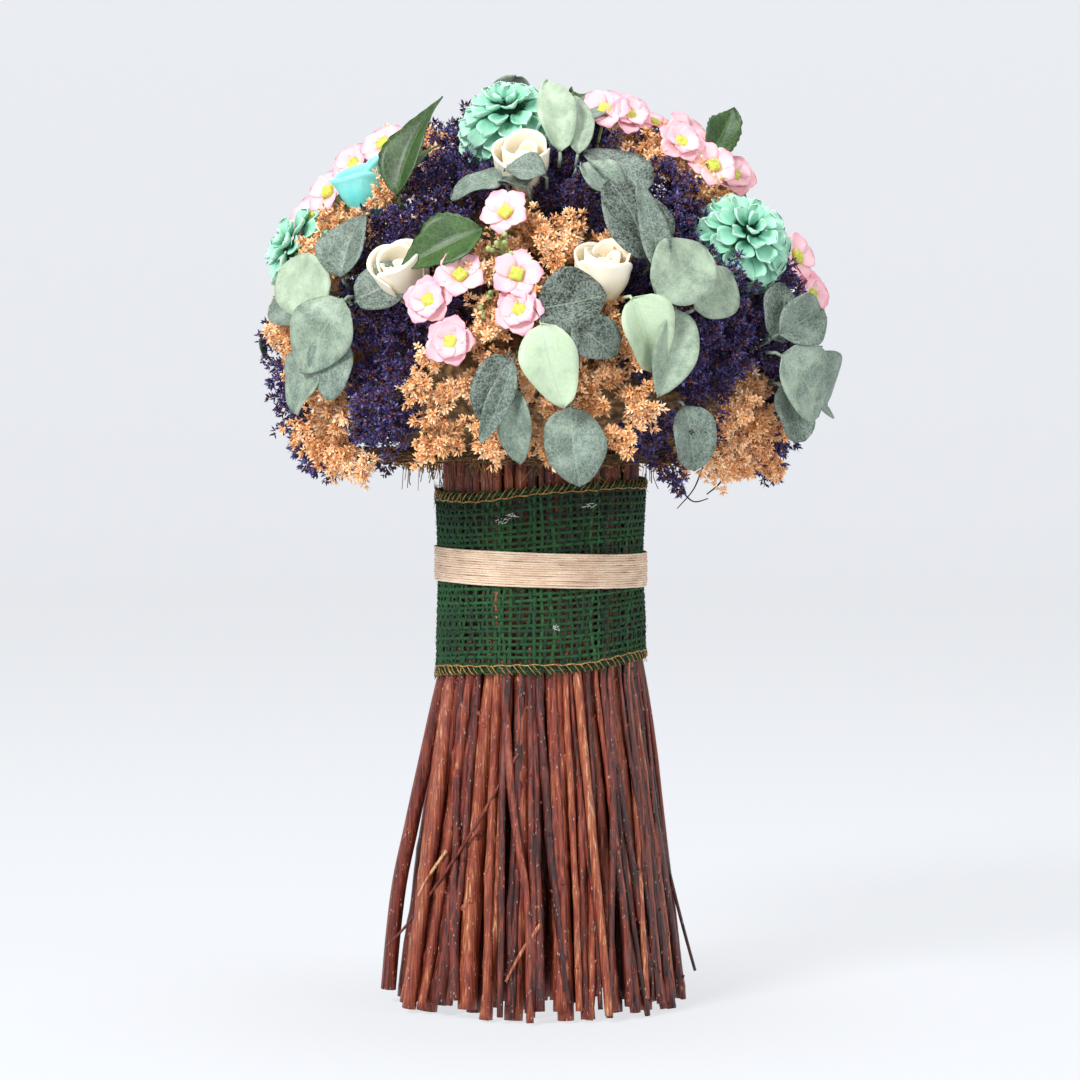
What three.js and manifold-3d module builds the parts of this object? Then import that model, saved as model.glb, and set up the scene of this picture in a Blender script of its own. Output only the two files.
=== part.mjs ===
// A bunch of dried flowers: a dome of filler clusters, flowers and leaves on a bundle of twigs that
// a burlap ribbon and a band of twine hold together. It stands on the cut ends of the twigs.
// Millimetres, +Z up, front towards -Y. "turn" is the angle round the bunch from the front towards
// +X and "rise" the angle above the dome's widest level, both in degrees.
import * as THREE from 'three';
import { mergeVertices } from 'three/addons/utils/BufferGeometryUtils.js';
import Module from 'manifold-3d';

const wasm = await Module();
wasm.setup();

// ---- driving dimensions ----
const clearance = 0.3;

const stemLength = 262; // from the cut ends to the tops of the twigs, inside the nest
const outerTwigs = 16;
const thickTwig = 9.6; // diameter at the left of the bunch
const thinTwig = 7.4; // diameter at the right
const twigRoom = 6.2; // between two outer twigs, where the thinnest twigs lie
const twigTaper = 0.12; // share of the diameter lost from the cut end to the top
const flareSlope = 0.125; // sideways per mm of height
const twigBow = 1.1; // how far a twig bends sideways
const innerRings = [12, 6]; // twigs in each ring inside the outer one
const roundSides = 36; // of the rings round the bundle
const cutSteps = [0, 2.4, 1.1, 0, 3.2]; // how far above the table the cut ends lie, in turn

const burlapWidth = 78;
const burlapThickness = 1.8;
const ribbonDrop = 62; // from the dome's underside to the ribbon's middle line
const burlapSkew = 0.07; // rise of the ribbon per mm to the right
const burlapPuff = 1.6; // how far it stands out above and below the twine
const twineBand = 15.6;
const twineThickness = 1.1;
const twineRaise = 4; // over the ribbon's middle line
const twineSkew = -0.035;

const domeRadius = 114; // of the filler clusters
const domeOverStem = 10; // from the tops of the twigs to the dome's widest level
const domeLumps = 0.035; // share of the radius
const flowerDepth = 37; // thickness of the layer of clusters over the nest
const skirtDepth = 25; // from the widest level down to the underside next to the twigs
const skirtDrop = 21; // how far the rim hangs below that
const nestStalkDepth = 9; // how far stalks reach into the nest

const mintFlower = { radius: 20.5, depth: 22 };
const creamBud = { radius: 11.5, depth: 27 };
const foldedBud = { radius: 12, depth: 27 };
const blossom = { radius: 9.5, depth: 6.5 };
const stalkRadius = 1.5;
const leafThickness = 1.6;
const leafStalkRadius = 1.2;
const leafCorners = 14;

// ---- heights that follow from them ----
const domeMiddle = stemLength + domeOverStem;
const skirtRoof = domeMiddle - skirtDepth;
const burlapMiddle = skirtRoof - ribbonDrop;
const twineMiddle = burlapMiddle + twineRaise;

// ---- colours ----
const look = (color, roughness) => new THREE.MeshStandardMaterial({ color, roughness, metalness: 0 });
const bark = look(0x7d4030, 0.75);
const innerBark = look(0x4a2820, 0.85);
const burlap = look(0x1f4a2c, 0.95);
const twine = look(0xcdb08a, 0.9);
const dryGrass = look(0x7a5a36, 0.95);
const orangeFiller = look(0xd6975c, 0.85);
const navyFiller = look(0x2c285c, 0.85);
const mintWood = look(0x74c7a0, 0.8);
const turquoiseWood = look(0x5ccfcd, 0.75);
const creamWood = look(0xf4ead2, 0.8);
const pinkPetal = look(0xf6c6cf, 0.8);
const eucalyptus = look(0x8aa894, 0.7);
const darkLeaf = look(0x3b5a2c, 0.6);

// ---- helpers ----
const radians = THREE.MathUtils.degToRad;

// One closed surface: shared corners merged, and triangles that closed up on the axis left out.
function closed(geometry) {
  geometry.deleteAttribute('normal');
  geometry.deleteAttribute('uv');
  const merged = mergeVertices(geometry, 1e-4);
  const corners = merged.index.array;
  const kept = [];
  for (let i = 0; i < corners.length; i += 3) {
    const [a, b, c] = corners.slice(i, i + 3);
    if (a !== b && b !== c && c !== a) kept.push(a, b, c);
  }
  merged.setIndex(kept);
  return merged;
}

function moved(geometry, place) {
  const points = geometry.attributes.position;
  for (let i = 0; i < points.count; i += 1) {
    const [x, y, z] = place(points.getX(i), points.getY(i), points.getZ(i));
    points.setXYZ(i, x, y, z);
  }
  return geometry;
}

// A solid of revolution about Z. The outline runs from the bottom of the axis to its top, or is a
// ring that closes on itself.
function turned(outline, around) {
  const points = outline.map(([r, z]) => new THREE.Vector2(r, z));
  return closed(new THREE.LatheGeometry(points, around).rotateX(Math.PI / 2));
}

function solid(geometry, matrix) {
  const copy = geometry.clone();
  if (matrix) copy.applyMatrix4(matrix);
  const vertProperties = new Float32Array(copy.attributes.position.array);
  const triVerts = new Uint32Array(copy.index.array);
  return new wasm.Manifold(new wasm.Mesh({ numProp: 3, vertProperties, triVerts }));
}

function geometryOf(body) {
  const mesh = body.getMesh();
  const geometry = new THREE.BufferGeometry();
  geometry.setAttribute('position', new THREE.BufferAttribute(mesh.vertProperties, 3));
  geometry.setIndex(new THREE.BufferAttribute(mesh.triVerts, 1));
  return geometry;
}

const group = new THREE.Group();

function add(name, geometry, material, matrix) {
  const mesh = new THREE.Mesh(geometry, material);
  mesh.name = name;
  if (matrix) matrix.decompose(mesh.position, mesh.quaternion, mesh.scale);
  group.add(mesh);
}

// ---- the twigs ----
const outerDiameter = (i) => {
  const leftness = 0.5 - 0.5 * Math.sin((2 * Math.PI * (i + 0.5)) / outerTwigs);
  return thinTwig + (thickTwig - thinTwig) * leftness;
};
const outerDiameters = Array.from({ length: outerTwigs }, (_, i) => outerDiameter(i));
const ringLength = outerDiameters.reduce((sum, d) => sum + d + twigRoom, 0);
const ringRadius = ringLength / (2 * Math.PI);
const bundleRadius = ringRadius + thickTwig / 2;

// Below this height, just under the ribbon, the twigs lean outwards.
const ribbonReach = burlapWidth / 2 + Math.abs(burlapSkew) * bundleRadius;
const flareHeight = burlapMiddle - ribbonReach - 1;
const flareAt = (z) => flareSlope * Math.max(0, flareHeight - z);

// A round bar with level ends whose middle follows a line given by height. It has one corner at
// the height where the flare starts.
function twigSolid({ radius, bottom, turn, distance, bow, sides, steps }) {
  const [below, above] = steps;
  const bar = new THREE.CylinderGeometry(1, 1, below + above, sides, below + above);
  bar.rotateX(Math.PI / 2).translate(0, 0, (below + above) / 2);
  const [sin, cos] = [Math.sin(turn), Math.cos(turn)];
  return moved(closed(bar), (x, y, step) => {
    const low = Math.min(step, below) / below;
    const high = Math.max(step - below, 0) / above;
    const z = bottom + (flareHeight - bottom) * low + (stemLength - flareHeight) * high;
    const r = radius * (1 - (twigTaper * z) / stemLength);
    const out = distance + flareAt(z) * (distance / ringRadius);
    const side = bow * Math.sin(Math.PI * low);
    return [x * r + sin * out + cos * side, y * r - cos * out + sin * side, z];
  });
}

function addOuterTwigs() {
  let along = 0;
  outerDiameters.forEach((diameter, i) => {
    const turn = (along + (diameter + twigRoom) / 2) / ringRadius;
    along += diameter + twigRoom;
    const twig = twigSolid({
      radius: diameter / 2,
      bottom: cutSteps[i % cutSteps.length],
      turn,
      distance: bundleRadius - diameter / 2,
      bow: twigBow * (i % 2 ? 1 : -1),
      sides: 8,
      steps: [4, 1],
    });
    add(`twig_${String(i + 1).padStart(2, '0')}`, twig, bark);
  });
}

// The twigs in the middle, joined where they touch: rings of them from the outside inwards, each
// pressed a little into its neighbours.
function addInnerTwigs() {
  const pressed = 1.1 / (1 - twigTaper);
  let edge = ringRadius - thickTwig / 2 - clearance - twigBow;
  let bundle = null;
  for (const count of innerRings) {
    const share = Math.sin(Math.PI / count) * pressed;
    const distance = edge / (1 + share);
    const radius = distance * share;
    for (let i = 0; i < count; i += 1) {
      const turn = (2 * Math.PI * i) / count;
      const bottom = cutSteps[i % cutSteps.length] + cutSteps[2];
      const twig = solid(twigSolid({ radius, bottom, turn, distance, bow: 0, sides: 6, steps: [2, 1] }));
      bundle = bundle ? bundle.add(twig) : twig;
    }
    edge = distance - radius / 2;
  }
  add('inner_twig_bundle', geometryOf(bundle), innerBark);
}

// ---- what holds the bundle ----
// A closed ring round the bundle, sloping to one side. The line gives, from the bottom up, each
// height above its middle and how far the ring stands out there.
const facetGrowth = 1 / Math.cos(Math.PI / roundSides);

function band({ inside, thickness, line, middle, skew }) {
  const inner = line.map(([z, out]) => [(inside + out) * facetGrowth, z]);
  const outer = line.map(([z, out]) => [(inside + out + thickness) * facetGrowth, z]);
  const ring = turned([...outer, ...inner.reverse(), outer[0]], roundSides);
  return moved(ring, (x, y, z) => [x, y, z + middle + skew * x]);
}

function addWrap() {
  const burlapInside = bundleRadius + clearance;
  const twineInside = burlapInside + burlapThickness + clearance;
  const slopeRoom = Math.abs(burlapSkew - twineSkew) * (twineInside + twineThickness);
  const offset = twineMiddle - burlapMiddle;
  const [low, high] = [offset - twineBand / 2 - slopeRoom, offset + twineBand / 2 + slopeRoom];
  const half = burlapWidth / 2;
  const line = [
    [-half, 0], [(low - half) / 2, burlapPuff], [low, 0], [high, 0], [(high + half) / 2, burlapPuff],
    [half, 0],
  ];
  const ribbon = { inside: burlapInside, thickness: burlapThickness, line, skew: burlapSkew };
  add('burlap_wrap', band({ ...ribbon, middle: burlapMiddle }), burlap);
  const turns = { inside: twineInside, thickness: twineThickness, skew: twineSkew };
  const edges = [[-twineBand / 2, 0], [twineBand / 2, 0]];
  add('twine_binding', band({ ...turns, line: edges, middle: twineMiddle }), twine);
}

// ---- flowers and leaves ----
const nestRadius = domeRadius - flowerDepth;
const domeCentre = new THREE.Vector3(0, 0, domeMiddle);

// The place of a bloom: its own +Z points out of the dome, and its +X lies along the dome at the
// angle "lie" from straight up.
function place({ turn, rise, lie = 0 }, distance) {
  const [t, r, l] = [turn, rise, lie].map(radians);
  const out = new THREE.Vector3(Math.cos(r) * Math.sin(t), -Math.cos(r) * Math.cos(t), Math.sin(r));
  const right = new THREE.Vector3(Math.cos(t), Math.sin(t), 0);
  const up = new THREE.Vector3().crossVectors(out, right);
  const x = up.multiplyScalar(Math.cos(l)).addScaledVector(right, Math.sin(l));
  const y = new THREE.Vector3().crossVectors(out, x);
  const matrix = new THREE.Matrix4().makeBasis(x, y, out);
  return matrix.setPosition(domeCentre.clone().addScaledVector(out, distance));
}

const stalkEnd = (distance) => nestRadius - nestStalkDepth - distance;

// A flower head with its stalk: the head's outline as shares of its radius and depth, with petal
// edges that wave in and out round it.
function headSolid({ radius, depth }, shares, { petals, facets, wave, swirl }, distance) {
  const stalk = [[0, stalkEnd(distance)], [stalkRadius, stalkEnd(distance)], [stalkRadius, 0]];
  const outline = shares.map(([r, z]) => [r * radius, z * depth]);
  return moved(turned([...stalk, ...outline], facets), (x, y, z) => {
    if (z <= 0) return [x, y, z];
    const angle = Math.atan2(y, x);
    const grown = 1 + wave * (Math.cos(petals * angle + (swirl * z) / depth) - 1);
    return [x * grown, y * grown, z];
  });
}

// The hole that a stalk is pushed into.
function stalkHole(radius, distance) {
  const wide = radius + clearance * 1.5;
  const end = stalkEnd(distance) - clearance;
  return turned([[0, end], [wide, end], [wide, 0], [0, 0]], 8);
}

// The hollow that a head sits in, which opens outwards.
function headPocket({ radius }) {
  const wide = radius + clearance * 2;
  return turned([[0, -clearance], [wide, -clearance], [wide, domeRadius], [0, domeRadius]], 14);
}

// Distance from a leaf's stalk to its edge: an oval whose stalk sits near one end.
function leafEdge(angle, { length, width }) {
  const [a, b, off] = [length / 2, width / 2, length * 0.42];
  const [c, s] = [Math.cos(angle), Math.sin(angle)];
  const k = (c * c) / (a * a) + (s * s) / (b * b);
  const h = (off * c) / (a * a);
  return (h + Math.sqrt(h * h - k * ((off * off) / (a * a) - 1))) / k;
}

// A leaf that lies along the dome, from the outline of half its cross-section: distances out are
// shares of the way to the leaf's edge, except on the stalk.
function leafShape(outline, size, distance, grow) {
  const unit = 100;
  const line = outline.map(([share, z, stalk]) => [stalk ?? share * unit, z]);
  return moved(turned(line, leafCorners), (x, y, z) => {
    const across = Math.hypot(x, y);
    if (across < unit * 0.1) return [x, y, z];
    const angle = Math.atan2(y, x);
    const r = (leafEdge(angle, size) + grow) * (across / unit);
    return [r * Math.cos(angle), r * Math.sin(angle), z - (r * r) / (2 * distance)];
  });
}

function leafSolid(size, distance) {
  const end = stalkEnd(distance);
  const outline = [
    [0, end], [0, end, leafStalkRadius], [0, 0, leafStalkRadius], [0.5, 0], [1, 0],
    [1, leafThickness], [0.5, leafThickness], [0, leafThickness],
  ];
  return leafShape(outline, size, distance, 0);
}

function leafPocket(size, distance) {
  const [low, high] = [-clearance, domeRadius];
  const outline = [[0, low], [0.5, low], [1, low], [1, high], [0, high]];
  return leafShape(outline, size, distance, clearance * 2);
}

const mintOutline = [
  [0.45, 0.02], [0.86, 0.3], [1, 0.52], [0.93, 0.7], [0.76, 0.74], [0.72, 0.88], [0.46, 0.9],
  [0.4, 1], [0, 0.97],
];
const rosebudOutline = [
  [0.45, 0.05], [0.82, 0.25], [0.96, 0.5], [1, 0.95], [0.84, 1], [0.5, 0.9], [0, 0.88],
];
const foldedOutline = [[0.3, 0.05], [0.5, 0.3], [0.72, 0.6], [1, 1], [0.86, 1], [0.45, 0.72], [0, 0.6]];
const blossomOutline = [[0.35, 0.12], [1, 0.62], [0.96, 0.76], [0.38, 0.5], [0.32, 1], [0, 1]];

// Each kind: its size, outline, petals, colour, and how deep its foot sits in the clusters.
const kinds = {
  mint: { size: mintFlower, outline: mintOutline, petals: [7, 21, 0.06, 3], material: mintWood, sunk: 14 },
  cream: { size: creamBud, outline: rosebudOutline, petals: [3, 15, 0.06, 2.6], material: creamWood, sunk: 18 },
  folded: { size: foldedBud, outline: foldedOutline, petals: [3, 15, 0.09, 1], material: turquoiseWood, sunk: 18 },
  blossom: { size: blossom, outline: blossomOutline, petals: [5, 20, 0.12, 0], material: pinkPetal, sunk: -1 },
};

const heads = [
  ['mint_flower_top', 'mint', { turn: -18, rise: 68 }],
  ['mint_flower_right', 'mint', { turn: 60, rise: 29 }],
  ['mint_flower_left', 'mint', { turn: -88, rise: 27 }],
  ['mint_flower_back', 'mint', { turn: 165, rise: 38 }],
  ['turquoise_bud', 'folded', { turn: -60, rise: 41 }],
  ['cream_rosebud_left', 'cream', { turn: -33, rise: 21 }],
  ['cream_rosebud_top', 'cream', { turn: -6, rise: 50 }],
  ['cream_rosebud_right', 'cream', { turn: 14, rise: 21 }],
  ['cream_rosebud_back', 'cream', { turn: -128, rise: 30 }],
  ['pink_blossom_upper', 'blossom', { turn: -8, rise: 33 }],
  ['pink_blossom_middle', 'blossom', { turn: -17, rise: 19 }],
  ['pink_blossom_lower', 'blossom', { turn: -18, rise: 6 }],
  ['pink_blossom_side', 'blossom', { turn: -4, rise: 12 }],
  ['pink_blossom_crown', 'blossom', { turn: 58, rise: 62 }],
  ['pink_blossom_far_left', 'blossom', { turn: -84, rise: 52 }],
  ['pink_blossom_back', 'blossom', { turn: 128, rise: 40 }],
];

// Eucalyptus leaves are rounded; the dark leaves are longer.
const leaves = [
  ['eucalyptus_left_upper', eucalyptus, { turn: -53, rise: 17, lie: -85 }, { length: 42, width: 28 }],
  ['eucalyptus_left_lower', eucalyptus, { turn: -50, rise: 4, lie: 205 }, { length: 34, width: 27 }],
  ['eucalyptus_top', eucalyptus, { turn: 24, rise: 62, lie: 10 }, { length: 38, width: 19 }],
  ['eucalyptus_right_dark', eucalyptus, { turn: 27, rise: 37, lie: -10 }, { length: 38, width: 22 }],
  ['eucalyptus_right_grey', eucalyptus, { turn: 32, rise: 12, lie: 45 }, { length: 32, width: 27 }],
  ['eucalyptus_right_low', eucalyptus, { turn: 31, rise: -6, lie: 155 }, { length: 32, width: 23 }],
  ['eucalyptus_front_pale', eucalyptus, { turn: 6, rise: -6, lie: 165 }, { length: 38, width: 25 }],
  ['eucalyptus_far_right', eucalyptus, { turn: 66, rise: 2, lie: 110 }, { length: 42, width: 32 }],
  ['eucalyptus_back_right', eucalyptus, { turn: 140, rise: 8, lie: 150 }, { length: 44, width: 32 }],
  ['eucalyptus_back_left', eucalyptus, { turn: -155, rise: 10, lie: 200 }, { length: 44, width: 30 }],
  ['dark_leaf_blade', darkLeaf, { turn: -42, rise: 42, lie: -8 }, { length: 42, width: 11 }],
  ['dark_leaf_top_right', darkLeaf, { turn: 88, rise: 42, lie: 40 }, { length: 34, width: 17 }],
  ['dark_leaf_far_left', darkLeaf, { turn: -92, rise: 2, lie: -40 }, { length: 28, width: 14 }],
];

const leafLift = 3.5; // height of a leaf over the clusters' mean radius

// Adds every head and leaf, and returns the room that the clusters and the nest leave for them.
function addBlooms() {
  const room = { hollows: [], holes: [] };
  for (const [name, kind, spot] of heads) {
    const { size, outline, petals, material, sunk } = kinds[kind];
    const distance = domeRadius - sunk;
    const [count, facets, wave, swirl] = petals;
    const matrix = place(spot, distance);
    const shape = { petals: count, facets, wave, swirl };
    add(name, headSolid(size, outline, shape, distance), material, matrix);
    room.hollows.push(solid(headPocket(size), matrix));
    room.holes.push(solid(stalkHole(stalkRadius, distance), matrix));
  }
  for (const [name, material, spot, size] of leaves) {
    const distance = domeRadius + leafLift;
    const matrix = place(spot, distance);
    add(name, leafSolid(size, distance), material, matrix);
    room.hollows.push(solid(leafPocket(size, distance), matrix));
    room.holes.push(solid(stalkHole(leafStalkRadius, distance), matrix));
  }
  return room;
}

// ---- filler clusters and the nest ----
const clusters = [
  ['orange_filler_upper_left', orangeFiller, { turn: -74, rise: 40 }],
  ['navy_filler_upper_left', navyFiller, { turn: -32, rise: 44 }],
  ['orange_filler_centre', orangeFiller, { turn: 6, rise: 30 }],
  ['navy_filler_top', navyFiller, { turn: 50, rise: 60 }],
  ['navy_filler_right', navyFiller, { turn: 46, rise: 4 }],
  ['orange_filler_front', orangeFiller, { turn: -2, rise: -10 }],
  ['navy_filler_left', navyFiller, { turn: -46, rise: 2 }],
  ['orange_filler_left', orangeFiller, { turn: -88, rise: -2 }],
  ['orange_filler_right', orangeFiller, { turn: 100, rise: 14 }],
  ['navy_filler_back', navyFiller, { turn: 162, rise: 16 }],
  ['orange_filler_back', orangeFiller, { turn: -138, rise: 22 }],
];

const towards = (spot) => {
  const matrix = place(spot, 0);
  return new THREE.Vector3().setFromMatrixColumn(matrix, 2);
};

// A ball with low lumps on it, centred on the dome.
function ball(radius, lumps, detail) {
  const round = closed(new THREE.IcosahedronGeometry(1, detail));
  return moved(round, (x, y, z) => {
    const swell = Math.sin(7 * x + 2) * Math.sin(6 * z) + Math.sin(8 * y + 1) * Math.cos(7 * z);
    const r = radius * (1 + lumps * swell);
    return [x * r, y * r, z * r + domeMiddle];
  });
}

// Everything below the skirt: a broad plug whose top is higher next to the twigs than at the rim.
function belowSkirt(raise) {
  const reach = domeRadius * 1.6;
  const outline = [
    [0, -10], [reach, -10], [reach, skirtRoof - skirtDrop + raise],
    [domeRadius * 0.9, skirtRoof - skirtDrop + raise], [bundleRadius + 12, skirtRoof + raise],
    [0, skirtRoof + raise],
  ];
  return turned(outline, 36);
}

// All of space on the far side of the wall half way from one direction to another.
function beyond(own, other) {
  const across = other.clone().sub(own).normalize();
  const size = domeRadius * 3;
  const block = new THREE.BoxGeometry(size, size, size);
  block.translate(0, 0, size / 2 - clearance / 2);
  const turn = new THREE.Quaternion().setFromUnitVectors(new THREE.Vector3(0, 0, 1), across);
  block.applyQuaternion(turn);
  block.translate(0, 0, domeMiddle);
  return solid(closed(block));
}

function addClusters({ hollows, holes }) {
  let shell = solid(ball(domeRadius, domeLumps, 6));
  shell = shell.subtract(solid(ball(nestRadius + clearance, 0, 4)));
  shell = shell.subtract(solid(belowSkirt(0)));
  for (const cut of [...hollows, ...holes]) shell = shell.subtract(cut);
  for (const [name, material, spot] of clusters) {
    const own = towards(spot);
    let cluster = shell;
    for (const [otherName, , otherSpot] of clusters) {
      if (otherName !== name) cluster = cluster.subtract(beyond(own, towards(otherSpot)));
    }
    add(name, geometryOf(cluster), material);
  }
}

function addNest({ holes }) {
  const socketRadius = (bundleRadius + clearance) * facetGrowth;
  const socket = turned([
    [0, -10], [socketRadius, -10], [socketRadius, stemLength + clearance], [0, stemLength + clearance],
  ], roundSides);
  let nest = solid(ball(nestRadius, 0, 4)).subtract(solid(belowSkirt(clearance)));
  nest = nest.subtract(solid(socket));
  for (const cut of holes) nest = nest.subtract(cut);
  add('dry_grass_nest', geometryOf(nest), dryGrass);
}

addOuterTwigs();
addInnerTwigs();
addWrap();
const room = addBlooms();
addClusters(room);
addNest(room);

// The bunch is centred over the origin, as wide to the left as to the right and as deep in front
// as behind.
const box = new THREE.Box3().setFromObject(group, true);
const middle = box.getCenter(new THREE.Vector3());
group.position.set(-middle.x, -middle.y, 0);

export default group;
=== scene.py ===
"""A bunch of dried flowers, for Blender 4.5: a dome of filler clusters, sola-wood flowers, blossoms
and eucalyptus on a bundle of twigs, in a green burlap ribbon wound with twine."""

import math
import random

import bmesh
import bpy
import numpy
from mathutils import Matrix, Vector, noise


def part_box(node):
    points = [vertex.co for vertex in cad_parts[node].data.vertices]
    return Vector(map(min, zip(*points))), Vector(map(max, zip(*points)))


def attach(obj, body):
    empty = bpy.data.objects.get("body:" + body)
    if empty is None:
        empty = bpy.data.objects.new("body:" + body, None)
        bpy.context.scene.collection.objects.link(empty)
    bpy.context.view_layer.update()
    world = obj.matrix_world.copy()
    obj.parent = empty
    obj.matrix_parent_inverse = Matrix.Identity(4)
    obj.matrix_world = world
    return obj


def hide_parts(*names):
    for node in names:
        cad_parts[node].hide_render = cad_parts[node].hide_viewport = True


bl_info = {
    "name": "Bunch of dried flowers",
    "version": (1, 0, 0),
    "blender": (4, 5, 0),
    "location": "View3D > Sidebar > Dried flowers",
    "description": "Builds a bunch of dried flowers round the packed frame",
    "category": "Object",
}

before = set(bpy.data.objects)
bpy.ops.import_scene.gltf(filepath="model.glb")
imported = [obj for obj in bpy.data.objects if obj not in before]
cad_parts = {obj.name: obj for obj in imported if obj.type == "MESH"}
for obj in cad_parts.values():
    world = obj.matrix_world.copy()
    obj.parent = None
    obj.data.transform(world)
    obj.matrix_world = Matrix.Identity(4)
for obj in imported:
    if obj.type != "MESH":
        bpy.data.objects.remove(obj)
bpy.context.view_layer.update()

MM = 0.001
BODY = "root"

# ---- places that come from the frame ----


def cad_points(node):
    """The corners of a node of the frame, in metres."""
    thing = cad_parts[node]
    return [thing.matrix_world @ v.co for v in thing.data.vertices]


NODES = sorted(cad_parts)
OUTER_TWIGS = [n for n in NODES if n.startswith("twig_")]
CLUSTERS = [n for n in NODES if "_filler_" in n]
WRAP_LOW, WRAP_HIGH = (Vector(p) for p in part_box("burlap_wrap"))
TWINE_LOW, TWINE_HIGH = (Vector(p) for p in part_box("twine_binding"))
STEM_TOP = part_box(OUTER_TWIGS[0])[1][2]
AXIS = Vector(((WRAP_LOW.x + WRAP_HIGH.x) / 2, (WRAP_LOW.y + WRAP_HIGH.y) / 2, 0))
NEST_LOW, NEST_HIGH = (Vector(p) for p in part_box("dry_grass_nest"))
NEST_RADIUS = (NEST_HIGH.x - NEST_LOW.x) / 2
DOME = Vector((AXIS.x, AXIS.y, NEST_HIGH.z - NEST_RADIUS))
DOME_RADIUS = NEST_RADIUS + 37 * MM


def facing(turn, rise):
    """The direction out of the dome at an angle round from the front and an angle up."""
    t, r = math.radians(turn), math.radians(rise)
    return Vector((math.cos(r) * math.sin(t), -math.cos(r) * math.cos(t), math.sin(r)))


def basis(out, along, origin):
    """A place whose Z points out and whose X lies as near as it can to a direction."""
    z = out.normalized()
    x = (along - z * along.dot(z)).normalized()
    return Matrix.Translation(origin) @ Matrix((x, z.cross(x), z)).transposed().to_4x4()


def round_axis(angle, out, z):
    """A place at an angle in radians round the bunch from its front, so far from its axis, at a
    height."""
    return Vector((AXIS.x + math.sin(angle) * out, AXIS.y - math.cos(angle) * out, z))


def scatter(rng):
    """A random push, as long in every direction of the frame."""
    return Vector((rng.uniform(-1, 1), rng.uniform(-1, 1), rng.uniform(-1, 1)))


def as_mesh(bm, name):
    """The bmesh as a mesh; the bmesh is freed."""
    mesh = bpy.data.meshes.new(name)
    bm.to_mesh(mesh)
    bm.free()
    return mesh


def up_the_dome(out):
    """The direction along the dome towards its crown."""
    return (Vector((0, 0, 1)) - out * out.z).normalized()


def lying(out, lie):
    """A direction along the dome, at an angle clockwise from straight up."""
    up = up_the_dome(out)
    right = Vector((-out.y, out.x, 0)).normalized()
    angle = math.radians(lie)
    return up * math.cos(angle) + right * math.sin(angle)


def axis_of(node):
    """Which way a flower or leaf of the frame faces: from the dome's middle through its stalk."""
    points = cad_points(node)
    nearest = min((p - DOME).length for p in points)
    end = [p for p in points if (p - DOME).length < nearest + 0.5 * MM]
    middle = sum(end, Vector()) / len(end)
    return (middle - DOME).normalized()


def reach_of(node, out):
    """The corner of a leaf of the frame that is farthest from its stalk."""
    return max(cad_points(node), key=lambda p: ((p - DOME) - out * (p - DOME).dot(out)).length)


# ---- colours and shader nodes ----


def colour(code):
    """A linear colour from an sRGB hex value. One from the settings is linear already."""
    if not isinstance(code, str):
        return (*code, 1.0)
    parts = [int(code[i : i + 2], 16) / 255 for i in (1, 3, 5)]
    linear = [c / 12.92 if c <= 0.04045 else ((c + 0.055) / 1.055) ** 2.4 for c in parts]
    return (*linear, 1.0)


def node(tree, kind, settings=None, inputs=None):
    """Adds a shader node, sets it up and links or fills its inputs."""
    new = tree.nodes.new("ShaderNode" + kind)
    for name, value in (settings or {}).items():
        setattr(new, name, value)
    for key, value in (inputs or {}).items():
        socket = new.inputs[key]
        if isinstance(value, bpy.types.NodeSocket):
            tree.links.new(value, socket)
        else:
            socket.default_value = value
    return new


def ramp(tree, factor, stops):
    """A colour ramp through (place, hex colour) stops."""
    new = node(tree, "ValToRGB", inputs={"Fac": factor})
    band = new.color_ramp
    while len(band.elements) < len(stops):
        band.elements.new(0.5)
    for element, (place, code) in zip(band.elements, stops):
        element.position = place
        element.color = colour(code)
    return new.outputs["Color"]


def blend(tree, factor, first, second, mode="MIX"):
    """Two colours mixed."""
    settings = {"data_type": "RGBA", "blend_type": mode, "clamp_factor": True}
    return node(tree, "Mix", settings, {0: factor, 6: first, 7: second}).outputs[2]


def calc(tree, operation, first, second=0.0, third=0.0):
    """One sum."""
    inputs = {0: first, 1: second, 2: third}
    return node(tree, "Math", {"operation": operation}, inputs).outputs[0]


def pattern(tree, kind, size, stretch=(1, 1, 1), settings=None, inputs=None, output="Fac", source=None):
    """A texture whose features are about a size in metres, stretched along an axis."""
    if source is None:
        source = node(tree, "TexCoord").outputs["Object"]
    scale = tuple(1 / (size * s) for s in stretch)
    mapping = node(tree, "Mapping", inputs={"Vector": source, "Scale": scale})
    filled = {"Vector": mapping.outputs[0], "Scale": 1.0, **(inputs or {})}
    return node(tree, "Tex" + kind, settings, filled).outputs[output]


def surface(name):
    """A new material with its tree, its shader and nothing linked."""
    material = bpy.data.materials.new(name)
    material.use_nodes = True
    return material, material.node_tree, material.node_tree.nodes["Principled BSDF"]


def finish(tree, shader, base=None, rough=None, height=None, bump=0.3, depth=0.3, **numbers):
    """Fills the shader: linked colour, roughness and bump, and plain numbers."""
    if base is not None:
        tree.links.new(base, shader.inputs["Base Color"])
    if rough is not None:
        tree.links.new(rough, shader.inputs["Roughness"])
    if height is not None:
        normal = node(tree, "Bump", inputs={"Height": height, "Strength": bump, "Distance": depth * MM})
        tree.links.new(normal.outputs[0], shader.inputs["Normal"])
    for key, value in numbers.items():
        shader.inputs[key.replace("_", " ")].default_value = value


def attribute(tree, name):
    """A number that the mesh carries."""
    return node(tree, "Attribute", {"attribute_name": name}).outputs["Fac"]


# ---- materials ----


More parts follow.
